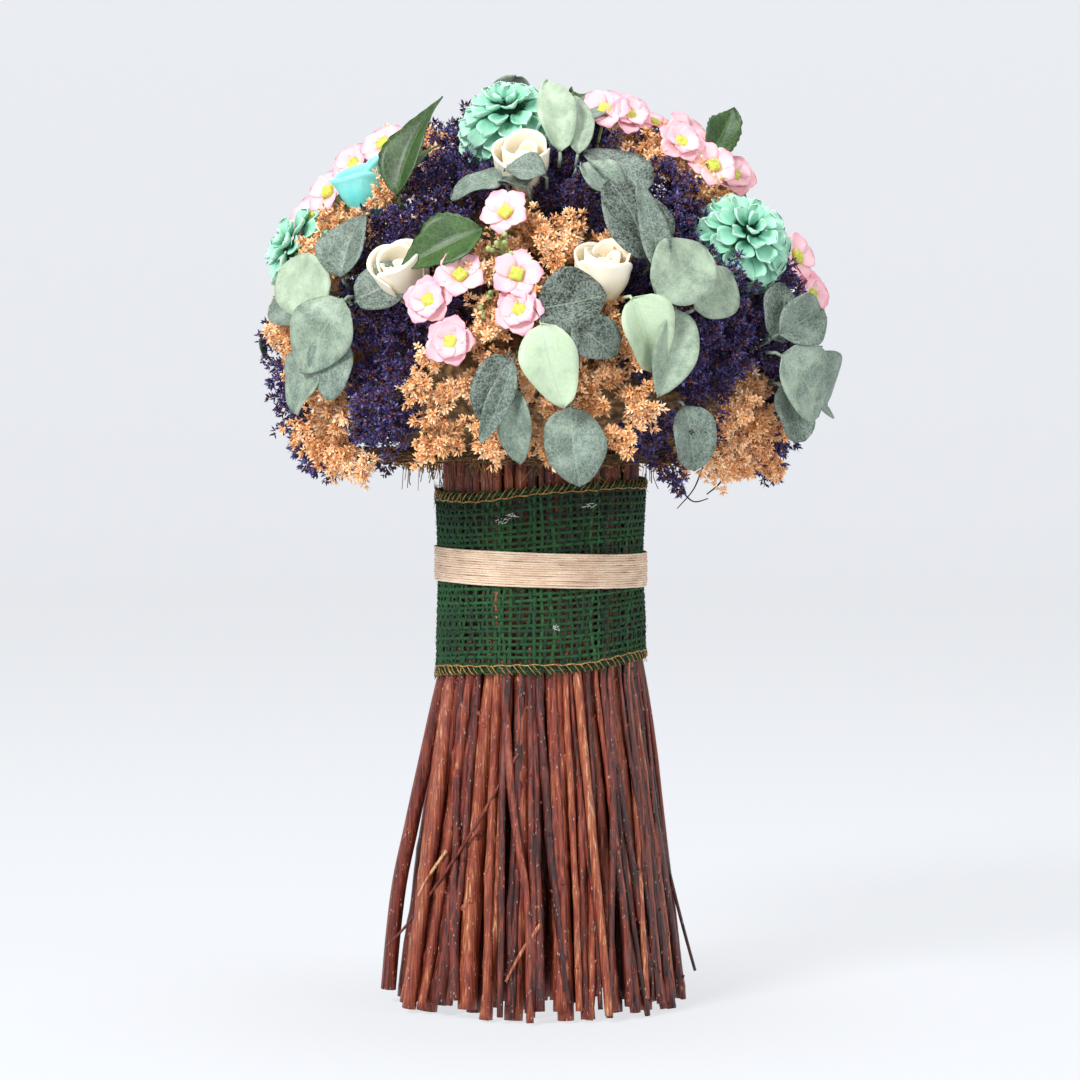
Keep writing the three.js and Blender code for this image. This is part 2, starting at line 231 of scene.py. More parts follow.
def make_bark():
    """Thin reddish twig bark with a dull gloss: a tone of its own on each twig, fine fibres and
    cracks along it, darker and greyer patches, and small pale corky lenticels 2.3 mm apart. The bark's
    fibres are finer than 0.5 mm, and are drawn at 0.8 and 1.3 mm so that they show."""
    material, tree, shader = surface("twig_bark")
    tone = attribute(tree, "tone")
    stops = [(0.0, "#220c0e"), (0.22, "#531c16"), (0.48, props().bark_colour), (0.7, "#944529"),
             (0.9, "#b4714a"), (1.0, "#d2a67c")]
    fibres = pattern(tree, "Noise", 1.3 * MM, (1, 1, 16), inputs={"Detail": 5.0, "Roughness": 0.75})
    patches = pattern(tree, "Noise", 8 * MM, (0.6, 0.6, 3), inputs={"Detail": 3.0})
    strands = pattern(tree, "Noise", 0.8 * MM, (1, 1, 40), inputs={"Detail": 2.0})
    shifted = calc(tree, "ADD", tone, calc(tree, "MULTIPLY_ADD", fibres, 1.5, -0.75))
    shifted = calc(tree, "ADD", shifted, calc(tree, "MULTIPLY_ADD", strands, 1.1, -0.55))
    shifted = calc(tree, "ADD", shifted, calc(tree, "MULTIPLY_ADD", patches, 0.6, -0.3))
    base = ramp(tree, shifted, stops)
    grey = ramp(tree, patches, [(0.6, "#000000"), (0.72, "#ffffff")])
    base = blend(tree, calc(tree, "MULTIPLY", grey, 0.3), base, colour("#6b5552"))
    cells = pattern(tree, "Voronoi", 2.3 * MM, (0.7, 0.7, 1.5), {"feature": "F1"}, output="Distance")
    some = pattern(tree, "Noise", 5 * MM, inputs={"Detail": 2.0})
    spots = ramp(tree, calc(tree, "ADD", cells, calc(tree, "MULTIPLY", some, 0.45)),
                 [(0.31, "#ffffff"), (0.4, "#000000")])
    base = blend(tree, calc(tree, "MULTIPLY", spots, 0.62), base, colour("#d8b49a"))
    height = calc(tree, "ADD", calc(tree, "ADD", fibres, strands), calc(tree, "MULTIPLY", spots, 0.5))
    rough = calc(tree, "MULTIPLY_ADD", patches, 0.4, 0.22)
    finish(tree, shader, base, rough, height, bump=0.9, depth=0.5, IOR=1.5)
    return material


def make_cut_wood():
    """The cut ends of the twigs: pale fibrous wood, flecked darker and weathered."""
    material, tree, shader = surface("cut_twig_wood")
    fibres = pattern(tree, "Noise", 0.8 * MM, inputs={"Detail": 5.0})
    base = ramp(tree, fibres, [(0.3, "#8a6748"), (0.5, "#c9a67c"), (0.7, "#dcc39c")])
    finish(tree, shader, base, height=fibres, bump=0.5, Roughness=0.85, IOR=1.5)
    return material


def make_burlap():
    """Jute yarn dyed dark green: hairy, matte, each thread a little lighter or darker. Its fibres
    are finer than 0.1 mm, and are drawn at 0.5 mm so that they show."""
    material, tree, shader = surface("dyed_jute_yarn")
    hairs = pattern(tree, "Noise", 0.5 * MM, (1, 1, 1), inputs={"Detail": 5.0})
    fade = pattern(tree, "Noise", 14 * MM, inputs={"Detail": 3.0})
    lightness = calc(tree, "ADD", calc(tree, "MULTIPLY", attribute(tree, "tone"), 0.5),
                     calc(tree, "MULTIPLY", hairs, 0.6))
    lightness = calc(tree, "ADD", lightness, calc(tree, "MULTIPLY_ADD", fade, 0.3, -0.2))
    stops = [(0.15, "#041309"), (0.45, "#0c3018"), (0.72, props().ribbon_colour), (1.0, "#33693a")]
    base = ramp(tree, lightness, stops)
    finish(tree, shader, base, height=hairs, bump=0.7, depth=0.3, Roughness=0.85)
    return material


def make_stitching():
    """Shiny polyester overlock thread, copper brown."""
    material, tree, shader = surface("polyester_thread")
    twist = pattern(tree, "Noise", 1.2 * MM, inputs={"Detail": 2.0})
    base = ramp(tree, twist, [(0.3, "#6a4a20"), (0.55, props().stitching_colour), (0.8, "#cfa662")])
    finish(tree, shader, base, height=twist, bump=0.3, Roughness=0.42, IOR=1.5)
    return material


def make_twine():
    """Bleached jute twine in a smooth lay, with a hairy twist and a few darker fibres, drawn at
    0.45 mm, coarser than life, so that they show."""
    material, tree, shader = surface("jute_twine")
    fibres = pattern(tree, "Noise", 0.45 * MM, inputs={"Detail": 4.0})
    patches = pattern(tree, "Noise", 12 * MM, (1, 1, 0.2), inputs={"Detail": 3.0})
    value = calc(tree, "ADD", calc(tree, "MULTIPLY", fibres, 0.55), calc(tree, "MULTIPLY", patches, 0.5))
    stops = [(0.25, "#94745c"), (0.42, "#ccae94"), (0.58, props().twine_colour), (0.8, "#f6e9d8")]
    base = ramp(tree, value, stops)
    finish(tree, shader, base, height=fibres, bump=0.5, depth=0.2, Roughness=0.82, Sheen_Weight=0.15)
    return material


def make_fibre(name, stops, size=3):
    """Dry plant fibre: matte, its colour running along each blade."""
    material, tree, shader = surface(name)
    streaks = pattern(tree, "Noise", size * MM, inputs={"Detail": 4.0})
    base = ramp(tree, streaks, stops)
    finish(tree, shader, base, height=streaks, bump=0.4, Roughness=0.85)
    return material


def make_floret(name, heart, middle, tip, rim):
    """Papery dried sepals: darker at the heart, partly their own colour and partly painted shade in the cup, and
    paler at the tips, partly a painted highlight; no two florets quite alike.
    """
    material, tree, shader = surface(name)
    part, tone = attribute(tree, "part"), attribute(tree, "tone")
    wide = pattern(tree, "Noise", 22 * MM, inputs={"Detail": 2.0})
    shift = calc(tree, "ADD", calc(tree, "MULTIPLY_ADD", tone, 0.5, -0.25),
                 calc(tree, "MULTIPLY_ADD", wide, 0.5, -0.25))
    value = calc(tree, "ADD", calc(tree, "MULTIPLY_ADD", part, 0.6, 0.2), shift)
    # the heart colour is partly painted shade in the floret's cup, and the rim colour at the tips partly a
    # painted highlight
    base = ramp(tree, value, [(0.02, heart), (0.35, middle), (0.68, tip), (1.0, rim)])
    finish(tree, shader, base, Roughness=0.5, IOR=1.45)
    return material


def make_sola(name, shaded_base, body, edge, through):
    """Shaved sola pith: soft, matte and slightly see-through, with a fine cellular grain. The real cells are
    about 0.1 mm wide, and are drawn at 0.7 mm so that they show. Each petal is darker at its base, painted shade
    where the petals over it shade it, and paler towards its tip."""
    material, tree, shader = surface(name)
    grain = pattern(tree, "Voronoi", 0.7 * MM, (1, 1, 1), {"feature": "F1"}, output="Distance")
    cloud = pattern(tree, "Noise", 7 * MM, inputs={"Detail": 3.0})
    rim = attribute(tree, "part")
    value = calc(tree, "ADD", calc(tree, "MULTIPLY", rim, 0.55), calc(tree, "MULTIPLY", cloud, 0.5))
    # part runs from a petal's base to its tip: the first colour, at the base of each petal, is painted shade
    # where the petals over it shade it
    base = ramp(tree, value, [(0.2, shaded_base), (0.5, body), (0.85, edge)])
    finish(tree, shader, base, height=grain, bump=0.25, depth=0.15, Roughness=0.7,
           Subsurface_Weight=through, Subsurface_Radius=(0.004, 0.003, 0.002), Subsurface_Scale=0.3)
    return material


def make_blossom():
    """Thin fabric petals: deeper pink at the heart and the rim, pale between, softly clouded. The
    real weave of about 0.2 mm is drawn three times as coarse, to show."""
    material, tree, shader = surface("blossom_petal")
    part = attribute(tree, "part")
    weave = pattern(tree, "Noise", 0.6 * MM, inputs={"Detail": 2.0})
    cloud = pattern(tree, "Noise", 9 * MM, inputs={"Detail": 2.0})
    value = calc(tree, "ADD", part, calc(tree, "MULTIPLY_ADD", cloud, 0.6, -0.3))
    stops = [(0.05, "#f09dab"), (0.3, "#f7c6cb"), (0.7, props().pink_colour), (1.0, "#f09fb0")]
    base = ramp(tree, value, stops)
    finish(tree, shader, base, height=weave, bump=0.2, depth=0.1, Roughness=0.7, Subsurface_Weight=0.2,
           Subsurface_Radius=(0.003, 0.002, 0.002), Subsurface_Scale=0.3)
    return material


def make_plain_plant(name, dark, light, size, rough=0.6):
    """Stalks, buds and hearts: one colour that varies softly."""
    material, tree, shader = surface(name)
    cloud = pattern(tree, "Noise", size * MM, inputs={"Detail": 3.0})
    base = ramp(tree, cloud, [(0.3, dark), (0.7, light)])
    finish(tree, shader, base, height=cloud, bump=0.3, depth=0.2, Roughness=rough)
    return material


def make_leaf(name, dark, body, pale, vein, bloom, rough, dusty):
    """A preserved leaf: matte, with a whitish bloom rubbed off in clouds and fine speckles, and thin
    veins that branch from the midrib to the edge, with a net of finer ones about 2.4 mm wide between."""
    material, tree, shader = surface(name)
    flat = node(tree, "UVMap", {"uv_map": "surface"}).outputs["UV"]
    split = node(tree, "SeparateXYZ", inputs={"Vector": flat})
    along, across = split.outputs["X"], split.outputs["Y"]
    bend = pattern(tree, "Noise", 12 * MM, inputs={"Detail": 2.0})
    off = calc(tree, "ABSOLUTE", calc(tree, "MULTIPLY_ADD", across, 2.0, -1.0))
    midrib = calc(tree, "LESS_THAN", off, 0.028)
    slant = calc(tree, "MULTIPLY_ADD", off, -2.3, calc(tree, "MULTIPLY", along, 7.0))
    slant = calc(tree, "ADD", slant, bend)
    side = calc(tree, "PINGPONG", slant, 0.5)
    veins = calc(tree, "MULTIPLY", calc(tree, "LESS_THAN", side, 0.035), 0.6)
    veins = calc(tree, "MAXIMUM", midrib, veins)
    net = pattern(tree, "Voronoi", 2.4 * MM, settings={"feature": "DISTANCE_TO_EDGE"}, output="Distance")
    veins = calc(tree, "MAXIMUM", veins, calc(tree, "MULTIPLY", calc(tree, "LESS_THAN", net, 0.07), 0.45))
    cloud = pattern(tree, "Noise", 9 * MM, inputs={"Detail": 5.0, "Roughness": 0.65})
    speck = pattern(tree, "Noise", 0.8 * MM, inputs={"Detail": 3.0})
    tone = attribute(tree, "tone")
    value = calc(tree, "ADD", calc(tree, "MULTIPLY_ADD", cloud, 0.8, -0.4), tone)
    base = ramp(tree, value, [(0.0, dark), (0.45, body), (0.9, pale)])
    dust = calc(tree, "ADD", calc(tree, "MULTIPLY", speck, 1.1), calc(tree, "MULTIPLY", cloud, 0.6))
    dust = ramp(tree, dust, [(0.78, "#000000"), (1.0, "#ffffff")])
    base = blend(tree, calc(tree, "MULTIPLY", dust, dusty), base, colour(bloom))
    base = blend(tree, calc(tree, "MULTIPLY", veins, 0.42), base, colour(vein))
    height = calc(tree, "ADD", calc(tree, "MULTIPLY", veins, -0.8), speck)
    finish(tree, shader, base, height=height, bump=0.3, depth=0.25, Roughness=rough, IOR=1.45)
    return material


def make_floor():
    """A pale paper sweep, lit evenly from behind so that it hardly shades: only a faint shadow."""
    material, _, shader = surface("paper_sweep")
    shader.inputs["Base Color"].default_value = colour("#76787a")
    shader.inputs["Roughness"].default_value = 0.9
    shader.inputs["Specular IOR Level"].default_value = 0.0
    shader.inputs["Emission Color"].default_value = colour("#eff1f5")
    shader.inputs["Emission Strength"].default_value = 0.79
    return material


MATERIALS = {
    "bark": make_bark,
    "cut_wood": make_cut_wood,
    "burlap": make_burlap,
    "stitching": make_stitching,
    "twine": make_twine,
    "grass": lambda: make_fibre(
        "dry_grass", [(0.3, "#2a1c10"), (0.5, "#6b4c2b"), (0.7, "#a07c4b")]
    ),
    "dark_fibre": lambda: make_fibre("dark_root_fibre", [(0.35, "#141210"), (0.7, "#3a342c")]),
    "lint": lambda: make_fibre("white_lint", [(0.3, "#c8ccc8"), (0.7, "#f2f4f2")]),
    # each floret material's first colour is partly painted shade in the cup, and its last partly a painted
    # highlight on the tips
    "orange": lambda: make_floret("orange_dried_floret", "#b0622f", props().orange_colour, "#ffd6a6", "#fff2dc"),
    "navy": lambda: make_floret("navy_dried_floret", "#0d0a18", props().navy_colour, "#3d3874", "#8482bd"),
    "navy_seed": lambda: make_plain_plant("navy_floret_seed", "#6a3030", "#b0664a", 4),
    # the second colour of each sola material is painted shade at the base of the petals
    "mint": lambda: make_sola("mint_sola_pith", "#4a957a", props().mint_colour, "#c6ead9", 0.15),
    "turquoise": lambda: make_sola("turquoise_sola_pith", "#3cb8b6", props().turquoise_colour, "#9df0ec", 0.2),
    "cream": lambda: make_sola("cream_sola_pith", "#e8cf9c", props().cream_colour, "#fff7e6", 0.25),
    "blossom": make_blossom,
    "heart": lambda: make_plain_plant("blossom_heart", "#a8b032", "#d6d864", 1.5, 0.7),
    "green_bud": lambda: make_plain_plant("green_bud", "#6d8a45", "#b9d08a", 4, 0.5),
    "eucalyptus": lambda: make_leaf(
        "preserved_eucalyptus", "#202923", props().eucalyptus_colour, "#b7cba8", "#9fb39a", "#bcc9c4", 0.5, 0.3
    ),
    "dark_leaf": lambda: make_leaf(
        "preserved_dark_leaf", "#15260f", props().dark_leaf_colour, "#527036", "#6c8a4c", "#7f9a68", 0.42, 0.1
    ),
    "floor": make_floor,
}
made = {}


def material(key):
    """The material of that kind, made once."""
    if key not in made:
        made[key] = MATERIALS[key]()
    return made[key]


# ---- meshes ----


def new_piece(name, bm, keys, smooth=True, mapped=False):
    """Turns a bmesh into an object that rides on the bunch's body."""
    mesh = as_mesh(bm, name)
    if not mapped:
        mesh.uv_layers.remove(mesh.uv_layers["surface"])
    for key in keys:
        mesh.materials.append(material(key))
    mesh.polygons.foreach_set("use_smooth", [smooth] * len(mesh.polygons))
    thing = bpy.data.objects.new(name, mesh)
    bpy.context.scene.collection.objects.link(thing)
    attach(thing, BODY)
    return thing


def thickened(thing, thickness):
    """Gives a thin piece its real thickness."""
    solidify = thing.modifiers.new("thickness", "SOLIDIFY")
    solidify.thickness = thickness
    solidify.offset = 0
    return thing


TUBES = {}


def straight_tube(sides, count, capped):
    """A straight tube of rings one metre apart that tubes are bent from: its mesh, the ring and the
    angle of each corner, and which faces are caps. A ring of edges is swept up, then capped."""
    key = (sides, count, capped)
    if key in TUBES:
        return TUBES[key]
    bm = start_mesh()
    bmesh.ops.create_circle(bm, segments=sides, radius=1.0)
    ring = bm.verts[:] + bm.edges[:]
    bmesh.ops.spin(bm, geom=ring, cent=(0, 0, 0), axis=(0, 0, 1), dvec=(0, 0, 1), angle=0.0, steps=count - 1)
    walls = len(bm.faces)
    if capped:
        for level in (0, count - 1):
            rim = [e for e in bm.edges if all(abs(v.co.z - level) < 0.5 for v in e.verts)]
            bmesh.ops.contextual_create(bm, geom=rim)
    bmesh.ops.recalc_face_normals(bm, faces=bm.faces)
    mesh = as_mesh(bm, "straight_tube")
    corners = numpy.zeros(len(mesh.vertices) * 3)
    mesh.vertices.foreach_get("co", corners)
    corners = corners.reshape(-1, 3)
    level = numpy.rint(corners[:, 2]).astype(int)
    angle = numpy.arctan2(corners[:, 1], corners[:, 0])
    caps = numpy.arange(len(mesh.polygons)) >= walls
    TUBES[key] = mesh, level, angle, caps
    return TUBES[key]


def tube(bm, points, radii, sides, tone=0.5, caps=None, mat=0, lobes=0.0, twist=0.0, flat=None):
    """A bar bent along points. flat makes its section that many times wider than it is thick, and
    lays it round the bunch's axis."""
    mesh, level, angle, is_cap = straight_tube(sides, len(points), caps is not None)
    last = len(points) - 1
    across, beside = [], []
    side = None
    for i, point in enumerate(points):
        ahead = (points[min(i + 1, last)] - points[max(i - 1, 0)]).normalized()
        if flat is not None:
            other = Vector((point.x - AXIS.x, point.y - AXIS.y, 0)).normalized()
            side = other.cross(ahead).normalized()
        else:
            side = ahead.orthogonal() if side is None else side - ahead * side.dot(ahead)
            side = side.normalized()
        across.append(side)
        beside.append(ahead.cross(side))
    across, beside, middles = (numpy.array(x)[level] for x in (across, beside, points))
    radius = numpy.array(radii)[level] * (1 + lobes * numpy.cos(3 * angle + twist * level))
    wide = 1.0 if flat is None else flat
    corners = middles + across * (radius * wide * numpy.cos(angle))[:, None]
    corners += beside * (radius * numpy.sin(angle))[:, None]
    mesh.vertices.foreach_set("co", corners.ravel())
    mesh.attributes["tone"].data.foreach_set("value", numpy.full(len(level), tone))
    index = numpy.full(len(is_cap), mat)
    index[is_cap] = caps or 0
    mesh.polygons.foreach_set("material_index", index)
    bm.from_mesh(mesh)


def start_mesh():
    """An empty bmesh whose corners carry a tone and a part and whose faces have a map."""
    bm = bmesh.new()
    for name in ("part", "tone"):
        bm.verts.layers.float.new(name)
    bm.loops.layers.uv.new("surface")
    return bm


def bent_grid(along, across, form, part=None, tone=0.5):
    """A rectangular grid bent into shape: form gives a place from (0..1, -1..1)."""
    bm = start_mesh()
    bmesh.ops.create_grid(bm, x_segments=along, y_segments=across, size=0.5, calc_uvs=True)
    parts, tones = bm.verts.layers.float["part"], bm.verts.layers.float["tone"]
    for vert in bm.verts:
        u, w = vert.co.x + 0.5, vert.co.y * 2
        vert[parts] = u if part is None else part(u, w)
        vert[tones] = tone
        vert.co = Vector(form(u, w))
    return as_mesh(bm, "template")


class Stamp:
    """A small template mesh that is copied into a larger one, each copy in a place of its own."""

    def __init__(self, mesh):
        self.mesh = mesh
        self.rest = [0.0] * (len(mesh.vertices) * 3)
        mesh.vertices.foreach_get("co", self.rest)

    def press(self, bm, matrix, tone=None):
        """Adds one copy."""
        self.mesh.vertices.foreach_set("co", self.rest)
        self.mesh.transform(matrix)
        if tone is not None:
            values = self.mesh.attributes["tone"].data
            values.foreach_set("value", [tone] * len(self.mesh.vertices))
        bm.from_mesh(self.mesh)


# ---- the twigs ----


def cad_line(name):
    """The middle line of a twig of the frame: its rings' heights, middles and radii."""
    levels = {}
    for p in cad_points(name):
        levels.setdefault(round(p.z, 4), []).append(p)
    line = []
    for z in sorted(levels):
        ring = levels[z]
        middle = sum(ring, Vector()) / len(ring)
        line.append((middle, max((p - middle).length for p in ring)))
    return line


def at_height(line, z):
    """The place and radius of a twig's middle line at a height."""
    for (low, r0), (high, r1) in zip(line, line[1:]):
        if z <= high.z:
            share = (z - low.z) / (high.z - low.z)
            return low.lerp(high, share), r0 + (r1 - r0) * share
    return line[-1][0].copy(), line[-1][1]


def twig_mesh(bm, path, radii, tone, seed, sides=9):
    """One twig with its knots, stubs and cut ends."""
    rng = random.Random(seed)
    gap = rng.uniform(24, 42) * MM
    start = rng.uniform(0, gap)
    swollen = []
    for i, point in enumerate(path):
        knot = abs(((point.z + start) % gap) - gap / 2)
        grow = 1 + 0.2 * math.exp(-((knot / (2.0 * MM)) ** 2))
        wobble = noise.noise(Vector((seed * 7.3, point.z * 70, 0))) * 0.1
        swollen.append(radii[i] * (grow + wobble))
    tube(bm, path, swollen, sides, tone, caps=1, lobes=0.05, twist=0.05)
    for i, point in enumerate(path[2:-2], 2):
        knot = abs(((point.z + start) % gap) - gap / 2)
        if knot < 2.4 * MM and rng.random() < 0.4:
            outward = Vector((point.x - AXIS.x, point.y - AXIS.y, 0)).normalized()
            away = Matrix.Rotation(rng.uniform(-1.1, 1.1), 3, "Z") @ outward
            long = rng.uniform(1.0, 3.0) * MM
            thin = radii[i] * rng.uniform(0.28, 0.42)
            tip = point + away * (radii[i] * 1.05 + long * 0.3) + Vector((0, 0, long))
            tube(bm, [point, point.lerp(tip, 0.6), tip], [thin * 1.5, thin * 1.2, thin * 0.8], 7, tone, caps=0)


def steps(low, high, count):
    """Heights from low to high."""
    return [low + (high - low) * i / count for i in range(count + 1)]


def wander(point, z, seed, size):
    """A sideways bend that changes along the twig, with smaller kinks in it."""
    bend = Vector((0, 0, 0))
    for wave, share in ((14, 1.0), (47, 0.4)):
        bend.x += noise.noise(Vector((seed * 3.1, z * wave, 0.5))) * share
        bend.y += noise.noise(Vector((seed * 5.7, z * wave, 9.5))) * share
    return point + bend * size


def build_frame_twigs():
    """The thick outer twigs, each where the frame has it, thinner on the bunch's right."""
    rng = random.Random(11)
    for i, name in enumerate(OUTER_TWIGS):
        line = cad_line(name)
        low, high = line[0][0].z, line[-1][0].z
        rightness = (line[0][0].x - AXIS.x) / (45 * MM)
        share = 0.97 - 0.2 * max(0.0, rightness) - rng.uniform(0, 0.16)
        path, radii = [], []
        for z in steps(low + 0.9 * MM, high, 70):
            middle, r = at_height(line, z)
            path.append(wander(middle, z, i, 1.7 * MM))
            radii.append(r * share)
        bm = start_mesh()
        twig_mesh(bm, path, radii, rng.uniform(0.3, 0.72), i, sides=14)
        piece = new_piece(name + "_bark", bm, ["bark", "cut_wood"])
        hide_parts(name)


def envelope(z):
    """The bundle's outer radius at a height, from the frame's twigs."""
    reach = [
        (Vector((p.x, p.y, 0)) - AXIS).length + r
        for p, r in (at_height(line, z) for line in FRAME_LINES)
    ]
    return sum(reach) / len(reach)


FRAME_LINES = [cad_line(name) for name in OUTER_TWIGS]


def loose_twig(bm, turn, inset, thickness, lean, bottom, top, tone, seed, sides=9, wild=1.8):
    """A twig of its own among the frame's: turn is its angle at the ribbon and lean how far that
    angle changes on the way down."""
    path, radii = [], []
    for z in steps(bottom, top, 56):
        below = max(0.0, 1 - z / WRAP_LOW.z)
        angle = math.radians(turn + lean * below)
        out = envelope(max(z, 0.0)) - thickness / 2 - inset * (1 + 0.35 * below)
        point = round_axis(angle, out, z)
        path.append(wander(point, z, seed, wild * MM * (0.3 + below)))
        radii.append(thickness / 2 * (1.04 - 0.16 * z / STEM_TOP))
    twig_mesh(bm, path, radii, tone, seed, sides)


def build_thin_twigs():
    """The thinner twigs that fill the gaps between the frame's outer ones: more and thinner ones on
    the bunch's right."""
    rng = random.Random(23)
    groups = {"front": start_mesh(), "back": start_mesh()}
    angles = sorted(
        math.degrees(math.atan2((line[-1][0] - AXIS).x, -(line[-1][0] - AXIS).y)) % 360 for line in FRAME_LINES
    )
    for i, angle in enumerate(angles):
        after = angles[(i + 1) % len(angles)] + (360 if i + 1 == len(angles) else 0)
        gap = after - angle
        middle = angle + gap / 2
        rightness = math.sin(math.radians(middle))
        places = [0.3, 0.52, 0.74] if rightness > -0.3 else [0.36, 0.64]
        for k, share in enumerate(places):
            thick = rng.uniform(3.0, 5.2) - 0.7 * rightness
            side = "front" if math.cos(math.radians(middle)) > -0.1 else "back"
            loose_twig(groups[side], angle + gap * share, rng.uniform(-1.6, 1.2) * MM, thick * MM,
                       rng.uniform(-6, 6), rng.uniform(0.5, 6) * MM, STEM_TOP - 4 * MM,
                       rng.uniform(0.1, 0.78), 100 + i * 5 + k)
    for side, bm in groups.items():
        piece = new_piece("thin_twigs_" + side, bm, ["bark", "cut_wood"])


def build_inner_twigs():
    """The twigs inside the bundle: rings of them from the outside inwards."""
    rng = random.Random(5)
    bm = start_mesh()
    rings = [(22, 7.5, 6.4), (16, 14.5, 7.0), (11, 22, 7.4), (6, 30, 8), (2, 37, 8)]
    for count, inset, thick in rings:
        for i in range(count):
            turn = 360 * (i + 0.5 * (count % 3)) / count + rng.uniform(-3, 3)
            loose_twig(bm, turn, (inset + rng.uniform(-0.8, 0.8)) * MM, (thick + rng.uniform(-1.2, 1)) * MM,
                       rng.uniform(-3, 3), rng.uniform(1, 7) * MM, STEM_TOP - 2 * MM,
                       rng.uniform(0.0, 0.7), 300 + count * 20 + i, sides=7)
    piece = new_piece("inner_twigs", bm, ["bark", "cut_wood"])
    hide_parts("inner_twig_bundle")


def curve_points(points, count):
    """A smooth line through a few points."""
    smooth = []
    for i in range(count + 1):
        place = i / count * (len(points) - 1)
        k = min(int(place), len(points) - 2)
        t = place - k
        a, b, c, d = (points[max(0, min(len(points) - 1, k + j))] for j in (-1, 0, 1, 2))
        smooth.append(
            0.5 * ((2 * b) + (c - a) * t + (2 * a - 5 * b + 4 * c - d) * t * t
                   + (3 * b - a - 3 * c + d) * t * t * t)
        )
    return smooth


def at_bundle(turn, out, z):
    """A point at an angle round the bundle, a distance outside it, at a height."""
    return round_axis(math.radians(turn), envelope(z * MM) + out * MM, z * MM)


SLENDER_TWIGS = 26  # slender ones over the front of the bundle


def build_stray_twigs():
    """Side shoots, crossing twigs and strays that stick out of the bundle."""
    rng = random.Random(3)
    bm = start_mesh()
    # (turn, out, height) places along each twig, its thickness at both ends, and its tone
    strays = [
        ([(-12, 1.6, 112), (-34, 2.2, 78), (-62, 4, 44), (-80, 10, 26)], 1.7, 1.0, 0.35),
        ([(84, 0.5, 152), (84, 1.5, 78), (86, 3.5, 48), (88, 8, 14)], 1.9, 1.3, 0.05),
        ([(0, 2.4, 42), (-8, 3, 30), (-14, 3.2, 18)], 1.8, 1.2, 0.75),
        ([(80, -0.6, 156), (76, 2.2, 118), (70, 1.8, 84)], 2.0, 1.5, 0.3),
        ([(96, -0.6, 156), (92, 3.0, 110), (90, 2.5, 60), (86, 2, 2)], 2.4, 2.0, 0.4),
        ([(-24, -0.6, 156), (-14, 2.4, 92), (-6, 2.4, 52), (-4, 2.2, 1)], 3.6, 3.2, 0.5),
        ([(-18, -0.6, 158), (-19, 2.0, 104), (-17, 2.8, 60), (-16, 3, 3)], 3.0, 2.6, 0.28),
        ([(44, -0.6, 156), (38, 2.2, 98), (33, 2.8, 60), (28, 3, 2)], 3.0, 2.7, 0.2),
        ([(20, -0.8, 156), (24, 2.2, 84), (26, 2.6, 40), (27, 2.4, 3)], 3.8, 3.4, 0.75),
        ([(-74, -2.4, 158), (-77, 1.0, 136), (-84, 4.5, 90), (-88, 7.5, 48), (-88, 6.5, 6)], 6.0, 6.6, 0.42),
        ([(-64, -2.4, 158), (-61, 0.8, 132), (-58, 2.6, 92), (-60, 3.4, 48), (-62, 3.4, 2)], 5.2, 6.0, 0.55),
        ([(150, -0.8, 156), (142, 2.4, 92), (150, 3.0, 48), (156, 3, 2)], 4.2, 4.6, 0.5),
        ([(-150, -0.8, 156), (-158, 2.4, 92), (-150, 3.2, 48), (-146, 3, 2)], 4.0, 4.4, 0.6),
        ([(-48, 2.2, 70), (-56, 5.0, 58), (-60, 6.0, 50)], 1.6, 0.9, 0.98),
    ]
    for k, (places, thick, thin, tone) in enumerate(strays):
        line = curve_points([at_bundle(*p) for p in places], 26)
        radii = [(thick + (thin - thick) * i / 26) / 2 * MM for i in range(27)]
        line = [wander(p, p.z, 700 + k, 0.7 * MM) for p in line]
        tube(bm, line, radii, 8, tone + rng.uniform(-0.05, 0.05), caps=1)
    for k in range(SLENDER_TWIGS):
        turn = rng.uniform(-58, 84)
        thick = rng.uniform(2.2, 3.8) - 0.5 * math.sin(math.radians(turn))
        loose_twig(bm, turn, rng.uniform(-2.6, -0.8) * MM, thick * MM, rng.uniform(-16, 16),
                   rng.uniform(0.5, 9) * MM, WRAP_LOW.z + 14 * MM, rng.uniform(0.05, 0.72), 800 + k)
    piece = new_piece("stray_twigs", bm, ["bark", "cut_wood"])


# ---- the ribbon and the twine ----

LAYER = 1.5 * MM  # from one turn of the ribbon to the next
RIBBON_START = -48.0  # where the ribbon's hidden inner end is
RIBBON_TURNS = 1.19
RIBBON_SKEW = 0.07  # how much it rises to the right
RIBBON_SLOPE = RIBBON_SKEW * (WRAP_HIGH.x - WRAP_LOW.x) / 2
RIBBON_MIDDLE = (WRAP_LOW.z + WRAP_HIGH.z) / 2
TWINE_MIDDLE = (TWINE_LOW.z + TWINE_HIGH.z) / 2
RIBBON_RADIUS = (TWINE_HIGH.x - TWINE_LOW.x) / 2 - 2.7 * MM
RIBBON_WIDTH = (WRAP_HIGH.z - WRAP_LOW.z) - 2 * RIBBON_SLOPE
RIBBON_LENGTH = 2 * math.pi * (RIBBON_RADIUS + 1 * MM) * RIBBON_TURNS
STITCH = 3.1 * MM  # from one overlock stitch to the next
HEM = 3.4 * MM  # how far the stitches reach in from the edge
OVERLAP = 0.25  # the share of a turn over which the outer layer rises onto the inner one
YARN = (0.37 * MM, 0.48 * MM)  # the thinnest and the thickest yarn's radius across its flat side
YARN_FLAT = 1.9
WAVE = 0.5 * MM  # how far a yarn rises over the one it crosses


